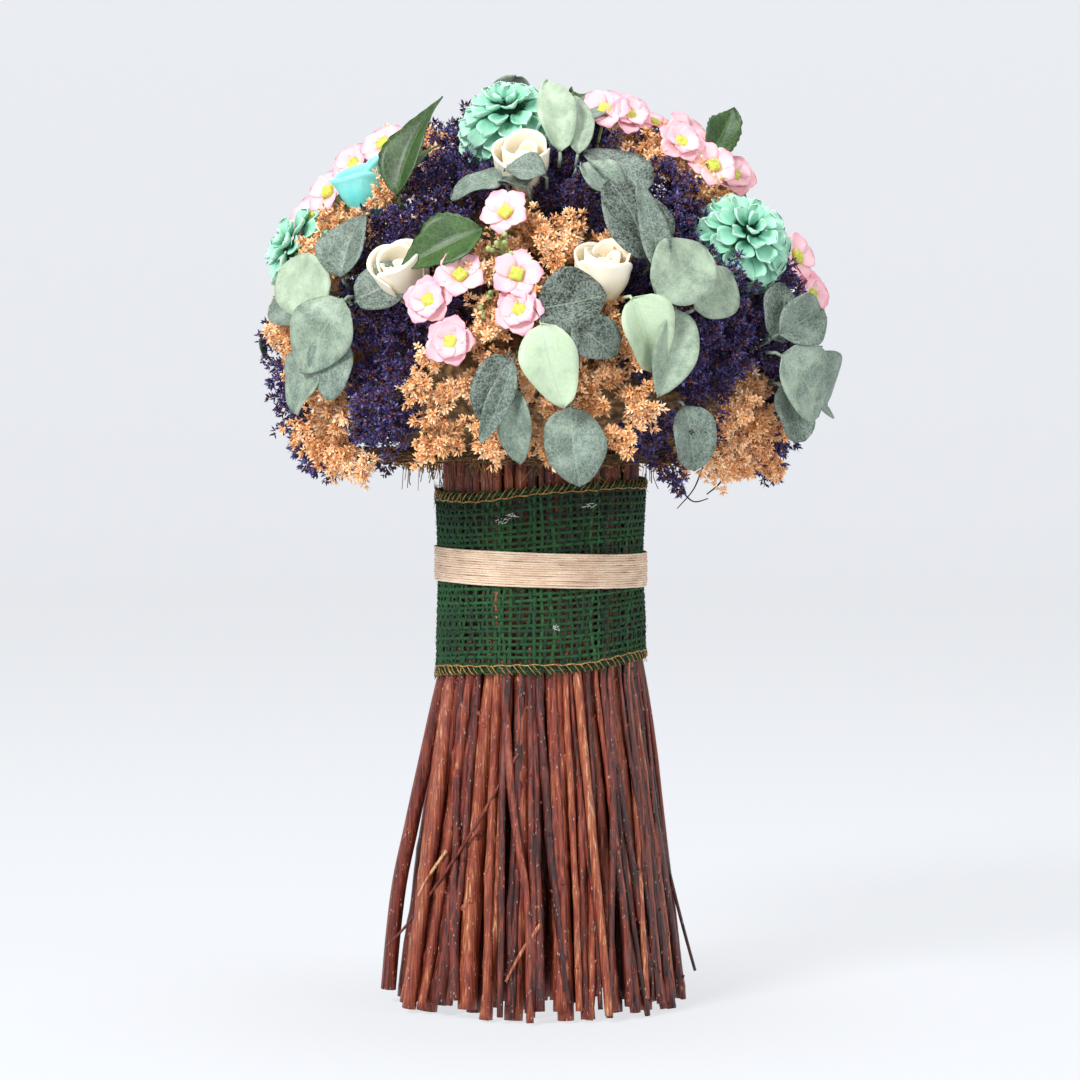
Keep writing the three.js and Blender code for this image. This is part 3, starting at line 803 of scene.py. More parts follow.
def ribbon_place(round_share, height, lift):
    """A place on the wound ribbon: how far round it (0 to 1), the height above its middle in
    metres, and how far off its surface."""
    angle = math.radians(RIBBON_START - 360 * RIBBON_TURNS * round_share)
    radius = RIBBON_RADIUS + LAYER * max(0.0, RIBBON_TURNS * round_share - (RIBBON_TURNS - OVERLAP))
    pinch = abs(height - (TWINE_MIDDLE - RIBBON_MIDDLE)) / (RIBBON_WIDTH / 2)
    puff = 1.5 * MM * min(1.0, pinch * 1.4) * (0.7 + 0.3 * math.sin(angle * 5 + 1))
    sag = 0.9 * MM * math.sin(angle * 3 + 0.6) * (height / RIBBON_WIDTH) * 2
    out = radius + puff + lift
    return round_axis(angle, out, RIBBON_MIDDLE + height + RIBBON_SKEW * math.sin(angle) * out + sag)


def build_burlap():
    """The burlap ribbon, woven thread by thread, with overlocked edges, fuzz and lint."""
    rng = random.Random(41)
    pitch = props().weave_pitch
    around = int(RIBBON_LENGTH / pitch)
    rows = int(RIBBON_WIDTH / pitch)
    bm = start_mesh()
    half = RIBBON_WIDTH / 2
    for column in range(around):
        share = (column + 0.5 + rng.uniform(-0.22, 0.22)) / around
        thick = rng.uniform(*YARN)
        drift = rng.uniform(-0.5, 0.5) / around
        points = []
        for k in range(rows * 2 + 1):
            height = -half + RIBBON_WIDTH * k / (rows * 2)
            over = math.cos(math.pi * (k / 2 + column)) * WAVE
            lean = drift * math.sin(k * 0.23 + column) * 1.2
            points.append(ribbon_place(share + lean, height, over))
        tube(bm, points, [thick] * len(points), 5, rng.random(), caps=0, flat=YARN_FLAT)
    for row in range(rows):
        height = -half + RIBBON_WIDTH * (row + 0.5 + rng.uniform(-0.16, 0.16)) / rows
        thick = rng.uniform(*YARN)
        points = []
        for k in range(around * 2 + 1):
            over = -math.cos(math.pi * (row + k / 2)) * WAVE
            lift = height + 0.35 * MM * math.sin(k * 0.05 + row * 1.7)
            points.append(ribbon_place(k / (around * 2), lift, over))
        tube(bm, points, [thick] * len(points), 5, rng.random(), caps=0, flat=YARN_FLAT)
    ribbon = new_piece("burlap_ribbon", bm, ["burlap"])
    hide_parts("burlap_wrap")
    stitches = build_overlock(rng)
    fuzz = build_fuzz(rng, half)


def build_overlock(rng):
    """The overlock stitching: a line of thread inside each edge and slanting stitches over it."""
    bm = start_mesh()
    half = RIBBON_WIDTH / 2
    count = int(RIBBON_LENGTH / STITCH)
    for edge in (1, -1):
        line = []
        for k in range(count * 2 + 1):
            wave = 0.25 * MM * math.sin(k * 1.3) + 0.3 * MM * math.sin(k * 0.21)
            line.append(ribbon_place(k / (count * 2), edge * (half - HEM) + wave, 0.9 * MM))
        tube(bm, line, [0.33 * MM] * len(line), 5)
        for k in range(count):
            share = (k + rng.uniform(-0.18, 0.18)) / count
            slant = 0.95 / count
            places = [
                (share, half - HEM, 0.9), (share - slant * 0.5, half - HEM / 2, 1.25),
                (share - slant, half + 0.2 * MM, 0.9), (share - slant * 1.05, half + 0.3 * MM, -0.5),
            ]
            points = [ribbon_place(max(0, s), edge * h, lift * MM) for s, h, lift in places]
            tube(bm, curve_points(points, 6), [0.24 * MM] * 7, 4)
    return new_piece("overlock_stitching", bm, ["stitching"])


def build_fuzz(rng, half):
    """Loose jute hairs on the ribbon, most along its edges, fine ones sunk across its face in darker tones,
    partly painted shade in the weave's gaps, and a few specks of lint.
    """
    bm = start_mesh()
    hairs = props().hairs
    for k in range(hairs):
        share = rng.random()
        at_edge = rng.random() < 0.72
        height = rng.choice((-1, 1)) * half * rng.uniform(0.93, 1.0) if at_edge else rng.uniform(-half, half)
        long = rng.uniform(1.5, 5.5) * MM
        way = rng.uniform(0, 2 * math.pi)
        points = []
        for step in range(4):
            t = step / 3 * long
            bend = way + step * rng.uniform(-0.4, 0.4)
            points.append(ribbon_place(
                share + math.cos(bend) * t / RIBBON_LENGTH, height + math.sin(bend) * t,
                0.5 * MM + step * rng.uniform(0.1, 0.5) * MM,
            ))
        hair = (0.2 if at_edge and k % 3 else 0.07) * MM
        tube(bm, points, [hair, hair, hair * 0.7, hair * 0.4], 3, rng.uniform(0.3, 1.2))
    # fine hairs sunk into the weave across the face, toned darker: partly real hairs, partly painted shade in
    # the gaps between the yarns
    for _ in range(hairs):
        share, height = rng.random(), rng.uniform(-0.97, 0.97) * half
        long, way = rng.uniform(3, 9) * MM, rng.uniform(0, 2 * math.pi)
        points = []
        for t in (0, 0.33, 0.67, 1):
            along = share + math.cos(way) * t * long / RIBBON_LENGTH
            across = height * (1 - 0.03 * t) + math.sin(way) * t * 0.5 * long
            points.append(ribbon_place(along, across, rng.uniform(-0.5, 0.1) * MM))
        tube(bm, points, [rng.uniform(0.09, 0.17) * MM] * 4, 3, rng.uniform(0, 0.7))
    for turn, height in ((-22, 26), (-15, 28), (26, 29), (-40, 12), (8, -20)):
        share = (RIBBON_START - turn) / (360 * RIBBON_TURNS) % (1 / RIBBON_TURNS)
        for k in range(9):
            here = share + rng.uniform(-1, 1) * 1.4 * MM / RIBBON_LENGTH
            there = here + rng.uniform(-1, 1) * 2.6 * MM / RIBBON_LENGTH
            low, high = (height * MM + rng.uniform(-1.4, 1.4) * MM for _ in range(2))
            points = [ribbon_place(here, low, 1 * MM), ribbon_place(there, high, 1.6 * MM)]
            tube(bm, points, [0.1 * MM] * 2, 3, mat=1)
    return new_piece("ribbon_fuzz_and_lint", bm, ["burlap", "lint"])


def build_twine():
    """The band of twine: one length wound round and round, each turn beside the last."""
    turns = props().twine_turns
    skew = -0.035
    radius = (TWINE_HIGH.x - TWINE_LOW.x) / 2 - 0.55 * MM
    band = (TWINE_HIGH.z - TWINE_LOW.z) + 2 * skew * radius
    pitch = band / turns
    thick = pitch * 0.5
    per_turn = 270
    points, radii = [], []
    for k in range(turns * per_turn + 1):
        angle = 2 * math.pi * k / per_turn + math.pi
        wound = k / per_turn
        loose = noise.noise(Vector((math.cos(angle) * 2, math.sin(angle) * 2, wound * 1.7)))
        out = radius + loose * 0.6 * MM
        z = TWINE_MIDDLE - band / 2 + thick + (band - 2 * thick) * wound / turns
        z += skew * math.sin(angle) * out + loose * 0.22 * MM
        points.append(round_axis(angle, out, z))
        radii.append(thick)
    bm = start_mesh()
    tube(bm, points, radii, 6, lobes=0.2, twist=0.7)
    back = math.radians(182)
    far = radius + 1.5 * MM
    knot = [
        round_axis(back + a, far + lift * MM, TWINE_MIDDLE + h * MM)
        for a, h, lift in ((-0.16, -11, 0), (-0.05, -4, 0.3), (0.02, 1, 1.6), (0.06, 4, 0.6), (-0.03, 5, 0.4),
                           (-0.02, 1, 1.8), (0.05, -3, 0.6), (0.15, -10, 0.2))
    ]
    line = curve_points(knot, 60)
    tube(bm, line, [thick] * len(line), 6, lobes=0.16, twist=0.9, caps=0)
    piece = new_piece("wound_twine", bm, ["twine"])
    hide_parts("twine_binding")


# ---- the nest ----


NEST_BLADES = 900  # loose blades on the nest's outside
ROOT_HAIRS = 150  # fine hairs that hang from its lower edge


def build_nest():
    """The nest of dry grass that the stalks are pushed into, with wisps that hang at the neck."""
    rng = random.Random(77)
    bm = start_mesh()
    radius = NEST_RADIUS + 8 * MM
    bmesh.ops.create_icosphere(bm, subdivisions=5, radius=radius)
    floor = NEST_LOW.z + 1 * MM - DOME.z
    narrower = 0.24  # how much the nest draws in towards its floor
    for vert in bm.verts:
        rough = noise.fractal(vert.co * 60, 0.8, 2.0, 4) * 3 * MM
        vert.co += vert.co.normalized() * rough
        low = max(0.0, 1 - (vert.co.z - floor) / (24 * MM)) if vert.co.z > floor else 1.0
        vert.co.x *= 1 - narrower * low
        vert.co.y *= 1 - narrower * low
        vert.co.z = max(vert.co.z, floor + rough * 1.5)
        vert.co += DOME
    for _ in range(NEST_BLADES):
        angle, way = rng.uniform(0, 2 * math.pi), rng.uniform(0, 2 * math.pi)
        low = rng.random() < 0.6
        reach = rng.uniform(40, 68) * MM
        if low:
            below = floor - rng.uniform(0, 5) * MM
            start = DOME + Vector((math.cos(angle) * reach, math.sin(angle) * reach, below))
        else:
            start = DOME + facing(rng.uniform(0, 360), rng.uniform(-16, 50)) * (radius + 1 * MM)
        long = rng.uniform(8, 26) * MM
        points = []
        for step in range(5):
            t = step / 4 * long
            bend = way + step * rng.uniform(-0.5, 0.5)
            sink = 0.16 if low else 0.0
            points.append(start + Vector((math.cos(bend) * t, math.sin(bend) * t,
                                          -sink * t + rng.uniform(-0.8, 0.8) * MM)))
        tube(bm, points, [rng.uniform(0.15, 0.4) * MM] * 5, 4, rng.random())
    for _ in range(ROOT_HAIRS):
        turn, out = rng.uniform(-180, 180), rng.uniform(44, 60)
        line = []
        for step in range(6):
            z = floor + DOME.z + (2 - step * rng.uniform(1.5, 4.4)) * MM
            line.append(round_axis(math.radians(turn), out * MM, z))
            turn += rng.uniform(-4, 4)
            out += rng.uniform(-1.5, 2)
        tube(bm, curve_points(line, 12), [rng.uniform(0.12, 0.26) * MM] * 13, 4, 0.5, mat=rng.choice((0, 0, 1)))
    # (turn, distance from the axis, height) places along each wisp, and its thickness
    wisps = [
        ([(28, 50, 244), (30, 54, 238), (27, 52, 230), (30, 50, 226)], 0.5, 0),
        ([(24, 48, 246), (28, 53, 240), (24, 51, 234)], 0.4, 0),
        ([(-80, 46, 244), (-78, 49, 238), (-82, 47, 232)], 0.4, 0),
        ([(34, 56, 246), (37, 60, 239), (35, 56, 236)], 0.45, 0),
        ([(64, 58, 240), (72, 62, 224), (80, 66, 217), (84, 72, 218)], 0.55, 1),
        ([(76, 74, 246), (80, 80, 236), (84, 78, 226), (80, 72, 220)], 0.7, 1),
        ([(70, 66, 246), (68, 68, 238), (72, 70, 231)], 0.9, 1),
        ([(46, 60, 244), (44, 64, 236), (47, 66, 232)], 0.9, 1),
        ([(88, 76, 244), (90, 70, 232), (82, 66, 222), (76, 60, 214)], 0.5, 1),
        ([(-160, 52, 244), (-158, 56, 234), (-162, 52, 226)], 0.5, 0),
        ([(150, 54, 244), (146, 58, 236), (150, 56, 228)], 0.5, 0),
    ]
    for places, thick, mat in wisps:
        line = [round_axis(math.radians(turn), out * MM, z * MM) for turn, out, z in places]
        line = curve_points(line, 18)
        radii = [thick * (1 - 0.6 * i / 18) * MM for i in range(19)]
        tube(bm, line, radii, 5, 0.5, mat=mat)
    piece = new_piece("dry_grass", bm, ["grass", "dark_fibre"])
    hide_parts("dry_grass_nest")


# ---- the filler clusters ----

# Where each colour of filler lies on the dome: (turn, rise) of its patches.
PATCHES = {
    "orange": [
        (-66, 42), (-72, 23), (-74, 4), (-54, -12), (3, 29), (-21, -5), (11, -6), (58, 56), (50, -18),
        (100, 40), (118, 4), (-96, 45), (-140, 40), (-150, 2), (168, 55), (150, -14),
    ],
    "navy": [
        (-30, 50), (-40, 27), (8, 45), (32, 44), (42, 27), (46, 10), (34, -9), (-34, 9), (-38, -8),
        (-84, -6), (74, 20), (0, 66), (90, -10), (85, 60), (135, 26), (176, 20), (-112, 14), (-176, -8),
        (-130, 70), (120, 75), (-118, -12),
    ],
}
PATCH_AXES = [(kind, facing(*spot)) for kind, spots in PATCHES.items() for spot in spots]


def floret_template(petals, size, cup, seed_size):
    """One small dried floret: a few ovate sepals, cupped round a seed."""
    bm = start_mesh()
    part = bm.verts.layers.float["part"]
    star = bmesh.ops.create_circle(bm, segments=petals * 4, radius=size, cap_ends=False)["verts"]
    bmesh.ops.contextual_create(bm, geom=star)
    middle = bmesh.ops.poke(bm, faces=bm.faces[:])["verts"]
    # how far out and how high each corner of a sepal is: tip, shoulder, notch, shoulder
    outline = ((1.0, 1.0, 1.0), (0.66, 0.5, 0.6), (0.2, 0.1, 0.3), (0.66, 0.5, 0.6))
    # part runs from 0 at the heart to 1 at the tips; the floret material paints the heart darkest, partly
    # painted shade in the cup, and the tips palest, partly a painted highlight
    for k, vert in enumerate(star):
        reach, lift, value = outline[k % 4]
        vert.co *= reach
        vert.co.z = cup * size * lift
        vert[part] = value
    for vert in middle:
        vert.co.z = -0.15 * size
        vert[part] = 0.0
    place = Matrix.Translation((0, 0, 0.2 * size))
    seed = bmesh.ops.create_cone(bm, segments=4, radius1=seed_size, radius2=0.0, depth=seed_size * 2,
                                 matrix=place, cap_ends=False)["verts"]
    for vert in seed:
        vert[part] = 0.55
        for face in vert.link_faces:
            face.material_index = 1
    return Stamp(as_mesh(bm, "floret"))


NECK_TOP = WRAP_HIGH.z + 11 * MM  # below this the neck of bare twigs shows at the front


def sprig_tips():
    """Where the sprigs' tips are: spread over the outer faces of the frame's clusters, no two too
    close, each with the cluster whose colour it has."""
    rng = random.Random(9)
    spacing = {"orange": props().orange_spacing, "navy": props().navy_spacing}
    spots = []
    for name in CLUSTERS:
        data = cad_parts[name].data
        for face in data.polygons:
            middle = face.center - DOME
            if middle.length < DOME_RADIUS * 0.93 or face.normal.dot(middle.normalized()) < 0.6:
                continue
            corners = [data.vertices[i].co for i in face.vertices]
            tries = face.area / (spacing["orange"] ** 2) * 9
            for _ in range(int(tries) + (rng.random() < tries % 1)):
                a, b = rng.random(), rng.random()
                if a + b > 1:
                    a, b = 1 - a, 1 - b
                spot = corners[0] + (corners[1] - corners[0]) * a + (corners[2] - corners[0]) * b
                spots.append((spot, name))
    rng.shuffle(spots)
    heart = {}
    for name in CLUSTERS:
        low, high = (Vector(corner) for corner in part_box(name))
        heart[name] = ((low + high) / 2 - DOME).normalized()
    tips = []
    for point, name in spots:
        out = (point - DOME).normalized()
        kind = max(PATCH_AXES, key=lambda patch: patch[1].dot(out))[0]
        turn = math.degrees(math.atan2(out.x, -out.y))
        if -38 < turn < 34 and point.z < NECK_TOP:
            continue
        if any((point - other[0]).length < spacing[kind] for other in tips):
            continue
        if not name.startswith(kind):
            likely = [n for n in CLUSTERS if n.startswith(kind)]
            name = max(likely, key=lambda n: heart[n].dot(out))
        tips.append((point, out, kind, name))
    return tips


def tuft(bm, stamps, tip, axis, long, wide, count, rng, bright):
    """A bullet-shaped tuft of florets that ends at a tip."""
    side = axis.orthogonal().normalized()
    other = axis.cross(side)
    for _ in range(count):
        share = rng.random() ** 0.8 * 0.9
        angle = rng.uniform(0, 2 * math.pi)
        spin = side * math.cos(angle) + other * math.sin(angle)
        away = wide * math.sqrt(share) * (1 - 0.25 * share) * rng.uniform(0.7, 1.06)
        place = tip - axis * (share * long) + spin * away
        normal = (axis * (1.1 - share) + spin * (0.35 + share)).normalized()
        normal += scatter(rng) * 0.5
        turned = basis(normal, spin.cross(normal) + axis * rng.uniform(-1, 1), place)
        tone = min(1.0, max(0.0, rng.gauss(0.5, 0.28) + bright))
        rng.choice(stamps).press(bm, turned @ Matrix.Scale(rng.uniform(0.7, 1.15), 4), tone)


BACK_DENSITY = 0.68  # the back's sprigs are looser, to keep the mesh small


def build_clusters():
    """Sprigs of dried filler: tufts of tiny florets, in the frame's clusters. A navy sprig is one
    dense tuft with knobs on it, an orange one a loose bunch of small ones."""
    rng = random.Random(31)
    florets = {
        "orange": [
            floret_template(4, 2.1 * MM, 0.45, 0.5 * MM), floret_template(4, 1.9 * MM, 0.9, 0.5 * MM),
            floret_template(3, 1.5 * MM, 1.6, 0.45 * MM),
        ],
        "navy": [
            floret_template(4, 1.9 * MM, 0.6, 0.62 * MM), floret_template(3, 1.8 * MM, 1.0, 0.62 * MM),
            floret_template(3, 1.5 * MM, 1.7, 0.45 * MM),
        ],
    }
    meshes = {name: start_mesh() for name in CLUSTERS}
    for point, out, kind, name in sprig_tips():
        bm, stamps = meshes[name], florets[kind]
        turn = abs(math.degrees(math.atan2(out.x, -out.y)))
        droop = max(0.0, 0.12 - out.z) * (0.2 if turn < 42 else 1.7)
        lean = scatter(rng) * 0.3
        axis = (out + lean + Vector((0, 0, -droop))).normalized()
        tip = point + axis * rng.uniform(-4, 5) * MM
        bright = rng.uniform(-0.16, 0.16)
        density = props().floret_density * (BACK_DENSITY if turn > 112 and out.z < 0.7 else 1.0)
        if kind == "navy":
            long, wide = rng.uniform(20, 28) * MM, rng.uniform(6.6, 8.6) * MM
            tuft(bm, stamps, tip, axis, long, wide, int(105 * density), rng, bright)
            knobs, knob_long, knob_wide, knob_count = 4, 7, 3.0, 13
        else:
            long, wide = rng.uniform(14, 20) * MM, rng.uniform(4.0, 5.6) * MM
            tuft(bm, stamps, tip, axis, long, wide, int(60 * density), rng, bright)
            knobs, knob_long, knob_wide, knob_count = 4, 9, 3.2, 15
        side = axis.orthogonal().normalized()
        for k in range(knobs):
            turned = Matrix.Rotation(k * 2.4 + rng.uniform(0, 1), 3, axis) @ side
            way = (axis + turned * rng.uniform(0.4, 1.0)).normalized()
            start = tip - axis * long * rng.uniform(0.25, 0.65) + turned * wide * 0.6
            tuft(bm, stamps, start + way * rng.uniform(5, 9) * MM, way, knob_long * MM, knob_wide * MM,
                 int(knob_count * density), rng, bright)
    for name, bm in meshes.items():
        kind = name.split("_")[0]
        seed = "orange" if kind == "orange" else "navy_seed"
        piece = new_piece(name + "_florets", bm, [kind, seed], smooth=False)
        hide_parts(name)


# ---- flowers ----


def petal(length, width, cup, curl, crease=0.0, ruffle=0.0, along=7, across=8):
    """A broad petal with a small point: it starts at the origin and runs along +X, face up."""

    def form(u, w):
        wide = 0.42 + 0.58 * math.sin(math.pi * min(0.5, u * 0.75))
        shut = 1 if u < 0.7 else math.sqrt(max(0.0, 1 - ((u - 0.7) / 0.3) ** 2))
        half = width / 2 * wide * (0.12 + 0.88 * shut)
        x = length * (u - 0.1 * u * w * w)
        z = cup * w * w * half + curl * u ** 3 * length - crease * (1 - abs(w)) * u * half
        z += ruffle * math.sin(w * 5 + u * 4) * u
        return x, w * half, z

    return bent_grid(along, across, form)


def press_ring(bm, stamp, place, count, radius, height, tilt, rng, tone=None, start=0.0, loose=0.08):
    """A ring of petals round a flower's axis."""
    for i in range(count):
        angle = 2 * math.pi * (i + start) / count + rng.uniform(-loose, loose)
        lift = tilt + rng.uniform(-loose, loose)
        size = rng.uniform(0.94, 1.06)
        local = (
            Matrix.Rotation(angle, 4, "Z") @ Matrix.Translation((radius, 0, height))
            @ Matrix.Rotation(-lift, 4, "Y") @ Matrix.Rotation(rng.uniform(-1, 1) * loose, 4, "X")
            @ Matrix.Scale(size, 4)
        )
        stamp.press(bm, place @ local, tone)


# Which way each mint flower leans from straight out of the dome: how much to the viewer's side (-Y),
# to the right and up.
MINT_LEAN = {
    "mint_flower_right": (-0.25, -0.55, 0.1),
    "mint_flower_top": (0.0, -0.25, 0.0),
    "mint_flower_left": (0.0, -0.3, 0.0),
    "mint_flower_back": (0.0, 0.0, 0.0),
}


def build_mint_flower(name, seed):
    """A sola-wood bloom: rings of broad pointed scales, laid from a low wide ring to a tight heart."""
    rng = random.Random(seed)
    out = axis_of(name)
    face = (out + Vector(MINT_LEAN[name])).normalized()
    middle = DOME + out * (DOME_RADIUS - 5 * MM)
    place = basis(face, up_the_dome(out), middle)
    bm = start_mesh()
    # petals, polar angle from the axis, how far they stand off the dome, length and width in mm
    rings = [
        (15, 108, 0.02, 12, 12), (15, 94, 0.08, 12.5, 12.5), (14, 80, 0.14, 12.5, 12.5), (13, 67, 0.2, 12, 12),
        (12, 54, 0.28, 11.5, 11), (10, 42, 0.38, 10.5, 10), (8, 30, 0.5, 9.4, 9), (6, 18, 0.75, 8, 7.6),
        (3, 7, 1.1, 6.4, 5.6),
    ]
    core = 14.5 * MM
    for k, (count, polar, stand, long, wide) in enumerate(rings):
        leaf = Stamp(petal(long * MM, wide * MM, 0.5, 0.1, crease=0.2, ruffle=0.55 * MM))
        for i in range(count):
            around = 2 * math.pi * (i + 0.5 * (k % 2)) / count + rng.uniform(-0.06, 0.06)
            tilt = math.radians(polar + rng.uniform(-3, 3))
            local = (
                Matrix.Rotation(around, 4, "Z") @ Matrix.Rotation(tilt, 4, "Y")
                @ Matrix.Translation((0, 0, core)) @ Matrix.Rotation(-stand + rng.uniform(-0.12, 0.12), 4, "Y")
                @ Matrix.Rotation(rng.uniform(-0.15, 0.15), 4, "X") @ Matrix.Scale(rng.uniform(0.92, 1.06), 4)
            )
            leaf.press(bm, place @ local, rng.random())
    piece = thickened(new_piece(name + "_petals", bm, ["mint"]), 0.45 * MM)
    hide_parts(name)


def wrapped(radius, height, span, flare, lip, dip=0.1, taper=0.5, turns_in=0.0):
    """A petal wrapped round an upright axis: a cup wall whose top edge rolls out."""

    def form(u, w):
        angle = w * span
        shrink = 1 - turns_in * (w + 1) / 2
        out = radius * shrink * (taper + (1 - taper) * math.sin(min(1, u * 1.3) * math.pi / 2)) + flare * u ** 3
        top = height * (1 - dip * w * w * w * w)
        z = u * top
        if u > 0.8:
            out += lip * (u - 0.8) / 0.2
            z -= lip * 0.5 * ((u - 0.8) / 0.2) ** 2
        return math.cos(angle) * out, math.sin(angle) * out, z

    return form


# Which way each cream bud leans from straight out of the dome: to the right, away from the viewer
# and up.
BUD_LEAN = {
    "cream_rosebud_left": (0.1, 0.0, 0.5),
    "cream_rosebud_top": (0.0, -0.2, 0.35),
    "cream_rosebud_right": (-0.1, 0.2, 0.85),
    "cream_rosebud_back": (0.0, 0.0, 0.5),
}


def build_cream_bud(name, seed):
    """A rosebud of shaved pith: a rolled heart with broad petals wrapped round it."""
    out = axis_of(name)
    face = (out + Vector(BUD_LEAN[name])).normalized()
    place = basis(face, out, DOME + out * (DOME_RADIUS - 3 * MM) - face * 12 * MM)
    bm = start_mesh()
    # radius, height, half angle it wraps, flare, rolled lip, and where it starts
    layers = [
        (11.4, 21, 1.45, 0.0, 0.7, 0.0), (10.8, 23, 1.45, 0.0, 0.7, 2.1), (9.8, 24, 1.5, -0.3, 0.6, 4.2),
        (8.0, 23, 1.6, -0.5, 0.4, 1.0), (6.4, 22, 1.7, -0.5, 0.3, 3.4),
    ]
    for radius, height, span, flare, lip, turn in layers:
        form = wrapped(radius * MM, height * MM, span, flare * MM, lip * MM, dip=0.28, taper=0.5)
        Stamp(bent_grid(12, 16, form)).press(bm, place @ Matrix.Rotation(turn + seed, 4, "Z"))

    def rolled(u, w):
        angle = (w + 1) * math.pi * 1.5
        far = (4.6 - 1.8 * (w + 1)) * MM
        return math.cos(angle) * far, math.sin(angle) * far, u * (18 + 2 * w) * MM

    Stamp(bent_grid(4, 36, rolled)).press(bm, place @ Matrix.Rotation(seed, 4, "Z"))
    piece = thickened(new_piece(name + "_petals", bm, ["cream"]), 0.7 * MM)
    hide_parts(name)


def build_turquoise_bud(name):
    """A folded cone of dyed pith, open at the top like a young lily."""
    out = axis_of(name)
    face = (out + Vector((0.15, 0.1, 0.75))).normalized()
    place = basis(face, out, DOME + out * (DOME_RADIUS - 2 * MM) - face * 13 * MM)
    bm = start_mesh()
    for radius, height, span, flare, lip, turn in (
        (9.5, 26, 1.5, 1.6, 1.0, 0.4), (9.0, 28, 1.5, 1.2, 0.9, 2.6), (8.2, 26.5, 1.5, 1.0, 0.8, 4.6),
    ):
        form = wrapped(radius * MM, height * MM, span, flare * MM, lip * MM, dip=0.2, taper=0.12)
        Stamp(bent_grid(12, 16, form)).press(bm, place @ Matrix.Rotation(turn, 4, "Z"))
    piece = thickened(new_piece(name + "_petals", bm, ["turquoise"]), 0.7 * MM)
    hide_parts(name)


def rounded_petal(length, width, cup, curl):
    """A short round petal of a small blossom."""

    def form(u, w):
        half = width / 2 * (0.3 + 0.75 * math.sin(math.pi * (0.12 + 0.62 * u))) * math.sqrt(
            max(0.05, 1 - max(0.0, (u - 0.72) / 0.28) ** 2 * 0.9)
        )
        notch = 0.05 * length * u * u * (1 - abs(w)) ** 3
        x = length * u * (1 - 0.1 * w * w) - notch
        return x, w * half, cup * w * w * half + curl * math.sin(u * 2.4) * length

    return bent_grid(7, 6, form)


def press_blossom(bm, place, rng):
    """One five-petalled blossom, its small inner ring and its square heart."""
    outer = Stamp(rounded_petal(10.6 * MM, 9.4 * MM, 0.22, 0.12))
    press_ring(bm, outer, place, 5, 0.9 * MM, 1.0 * MM, 0.14, rng, loose=0.07)
    if rng.random() < 0.3:
        inner = Stamp(rounded_petal(8.0 * MM, 7.6 * MM, 0.25, 0.18))
        press_ring(bm, inner, place, 5, 0.8 * MM, 2.2 * MM, 0.3, rng, start=0.5, loose=0.07)
    size = Matrix.Diagonal((5.0 * MM, 5.0 * MM, 2.4 * MM, 1))
    before = len(bm.faces)
    cube = bmesh.ops.create_cube(bm, size=1.0, matrix=place @ Matrix.Translation((0, 0, 2.8 * MM)) @ size)
    edges = list({e for v in cube["verts"] for e in v.link_edges})
    bmesh.ops.bevel(bm, geom=edges, offset=0.6 * MM, segments=2, profile=0.5, affect="EDGES", material=-1)
    bm.faces.ensure_lookup_table()
    for face in bm.faces[before:]:
        face.material_index = 1
    stalk = place @ Vector((0, 0, 0))
    inward = (DOME - stalk).normalized()
    line = [stalk + inward * t * MM for t in (-1, 4, 10, 18)]
    tube(bm, line, [0.6 * MM] * 4, 6, mat=2)


# More blossoms than the frame has: (turn, rise, height over the dome in mm).
MORE_BLOSSOMS = [
    (-23, 14, 4), (-5, 19, 5),
    (44, 64, 5), (66, 56, 6), (54, 53, 5), (60, 46, 5), (34, 66, 5), (72, 44, 4),
    (-74, 47, 5), (-66, 53, 5), (-86, 47, 4), (-80, 40, 4), (-88, 34, 4), (82, 24, 5), (86, 16, 5),
    (-150, 48, 4), (-162, 42, 4), (136, 33, 4), (120, 34, 4), (-140, 6, 4), (-134, 0, 4),
]


def build_blossoms():
    """The pink blossoms: those of the frame, and the smaller groups round them."""
    rng = random.Random(61)
    for name in [n for n in NODES if n.startswith("pink_blossom")]:
        out = axis_of(name)
        bm = start_mesh()
        lean = Vector((rng.uniform(-1, 1), -0.6, rng.uniform(-0.4, 1))) * 0.28
        place = basis(out + lean, lying(out, rng.uniform(0, 72)), DOME + out * (DOME_RADIUS + 3 * MM))
        press_blossom(bm, place, rng)
        piece = thickened(new_piece(name + "_petals", bm, ["blossom", "heart", "green_bud"]), 0.25 * MM)
        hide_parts(name)
    bm = start_mesh()
    for turn, rise, height in MORE_BLOSSOMS:
        out = facing(turn, rise)
        front = abs(turn) < 95
        lean = Vector((rng.uniform(-0.3, 0.3), -0.75 if front else 0.0, rng.uniform(-0.2, 0.2)))
        place = basis(out + lean, lying(out, rng.uniform(0, 72)), DOME + out * (DOME_RADIUS + height * MM))
        press_blossom(bm, place, rng)
    piece = thickened(new_piece("more_pink_blossoms", bm, ["blossom", "heart", "green_bud"]), 0.25 * MM)


def build_green_buds():
    """Small unopened buds on green stalks among the blossoms."""
    rng = random.Random(19)
    bm = start_mesh()
    for turn, rise in ((-9, 26), (-7, 24), (-12, 13), (52, 66), (55, 58), (-152, 44), (130, 36)):
        for _ in range(4):
            out = facing(turn + rng.uniform(-3, 3), rise + rng.uniform(-3, 3))
            foot = DOME + facing(turn, rise) * (DOME_RADIUS - 8 * MM)
            head = DOME + out * (DOME_RADIUS + rng.uniform(2, 9) * MM)
            tube(bm, curve_points([foot, foot.lerp(head, 0.5) + up_the_dome(out) * 1 * MM, head], 6),
                 [0.45 * MM] * 7, 5)
            size = rng.uniform(0.9, 1.5) * MM
            shape = basis(out, up_the_dome(out), head) @ Matrix.Diagonal((size, size, size * 1.35, 1))
            bmesh.ops.create_icosphere(bm, subdivisions=2, radius=1.0, matrix=shape)
    piece = new_piece("green_buds", bm, ["green_bud"])


# ---- leaves ----


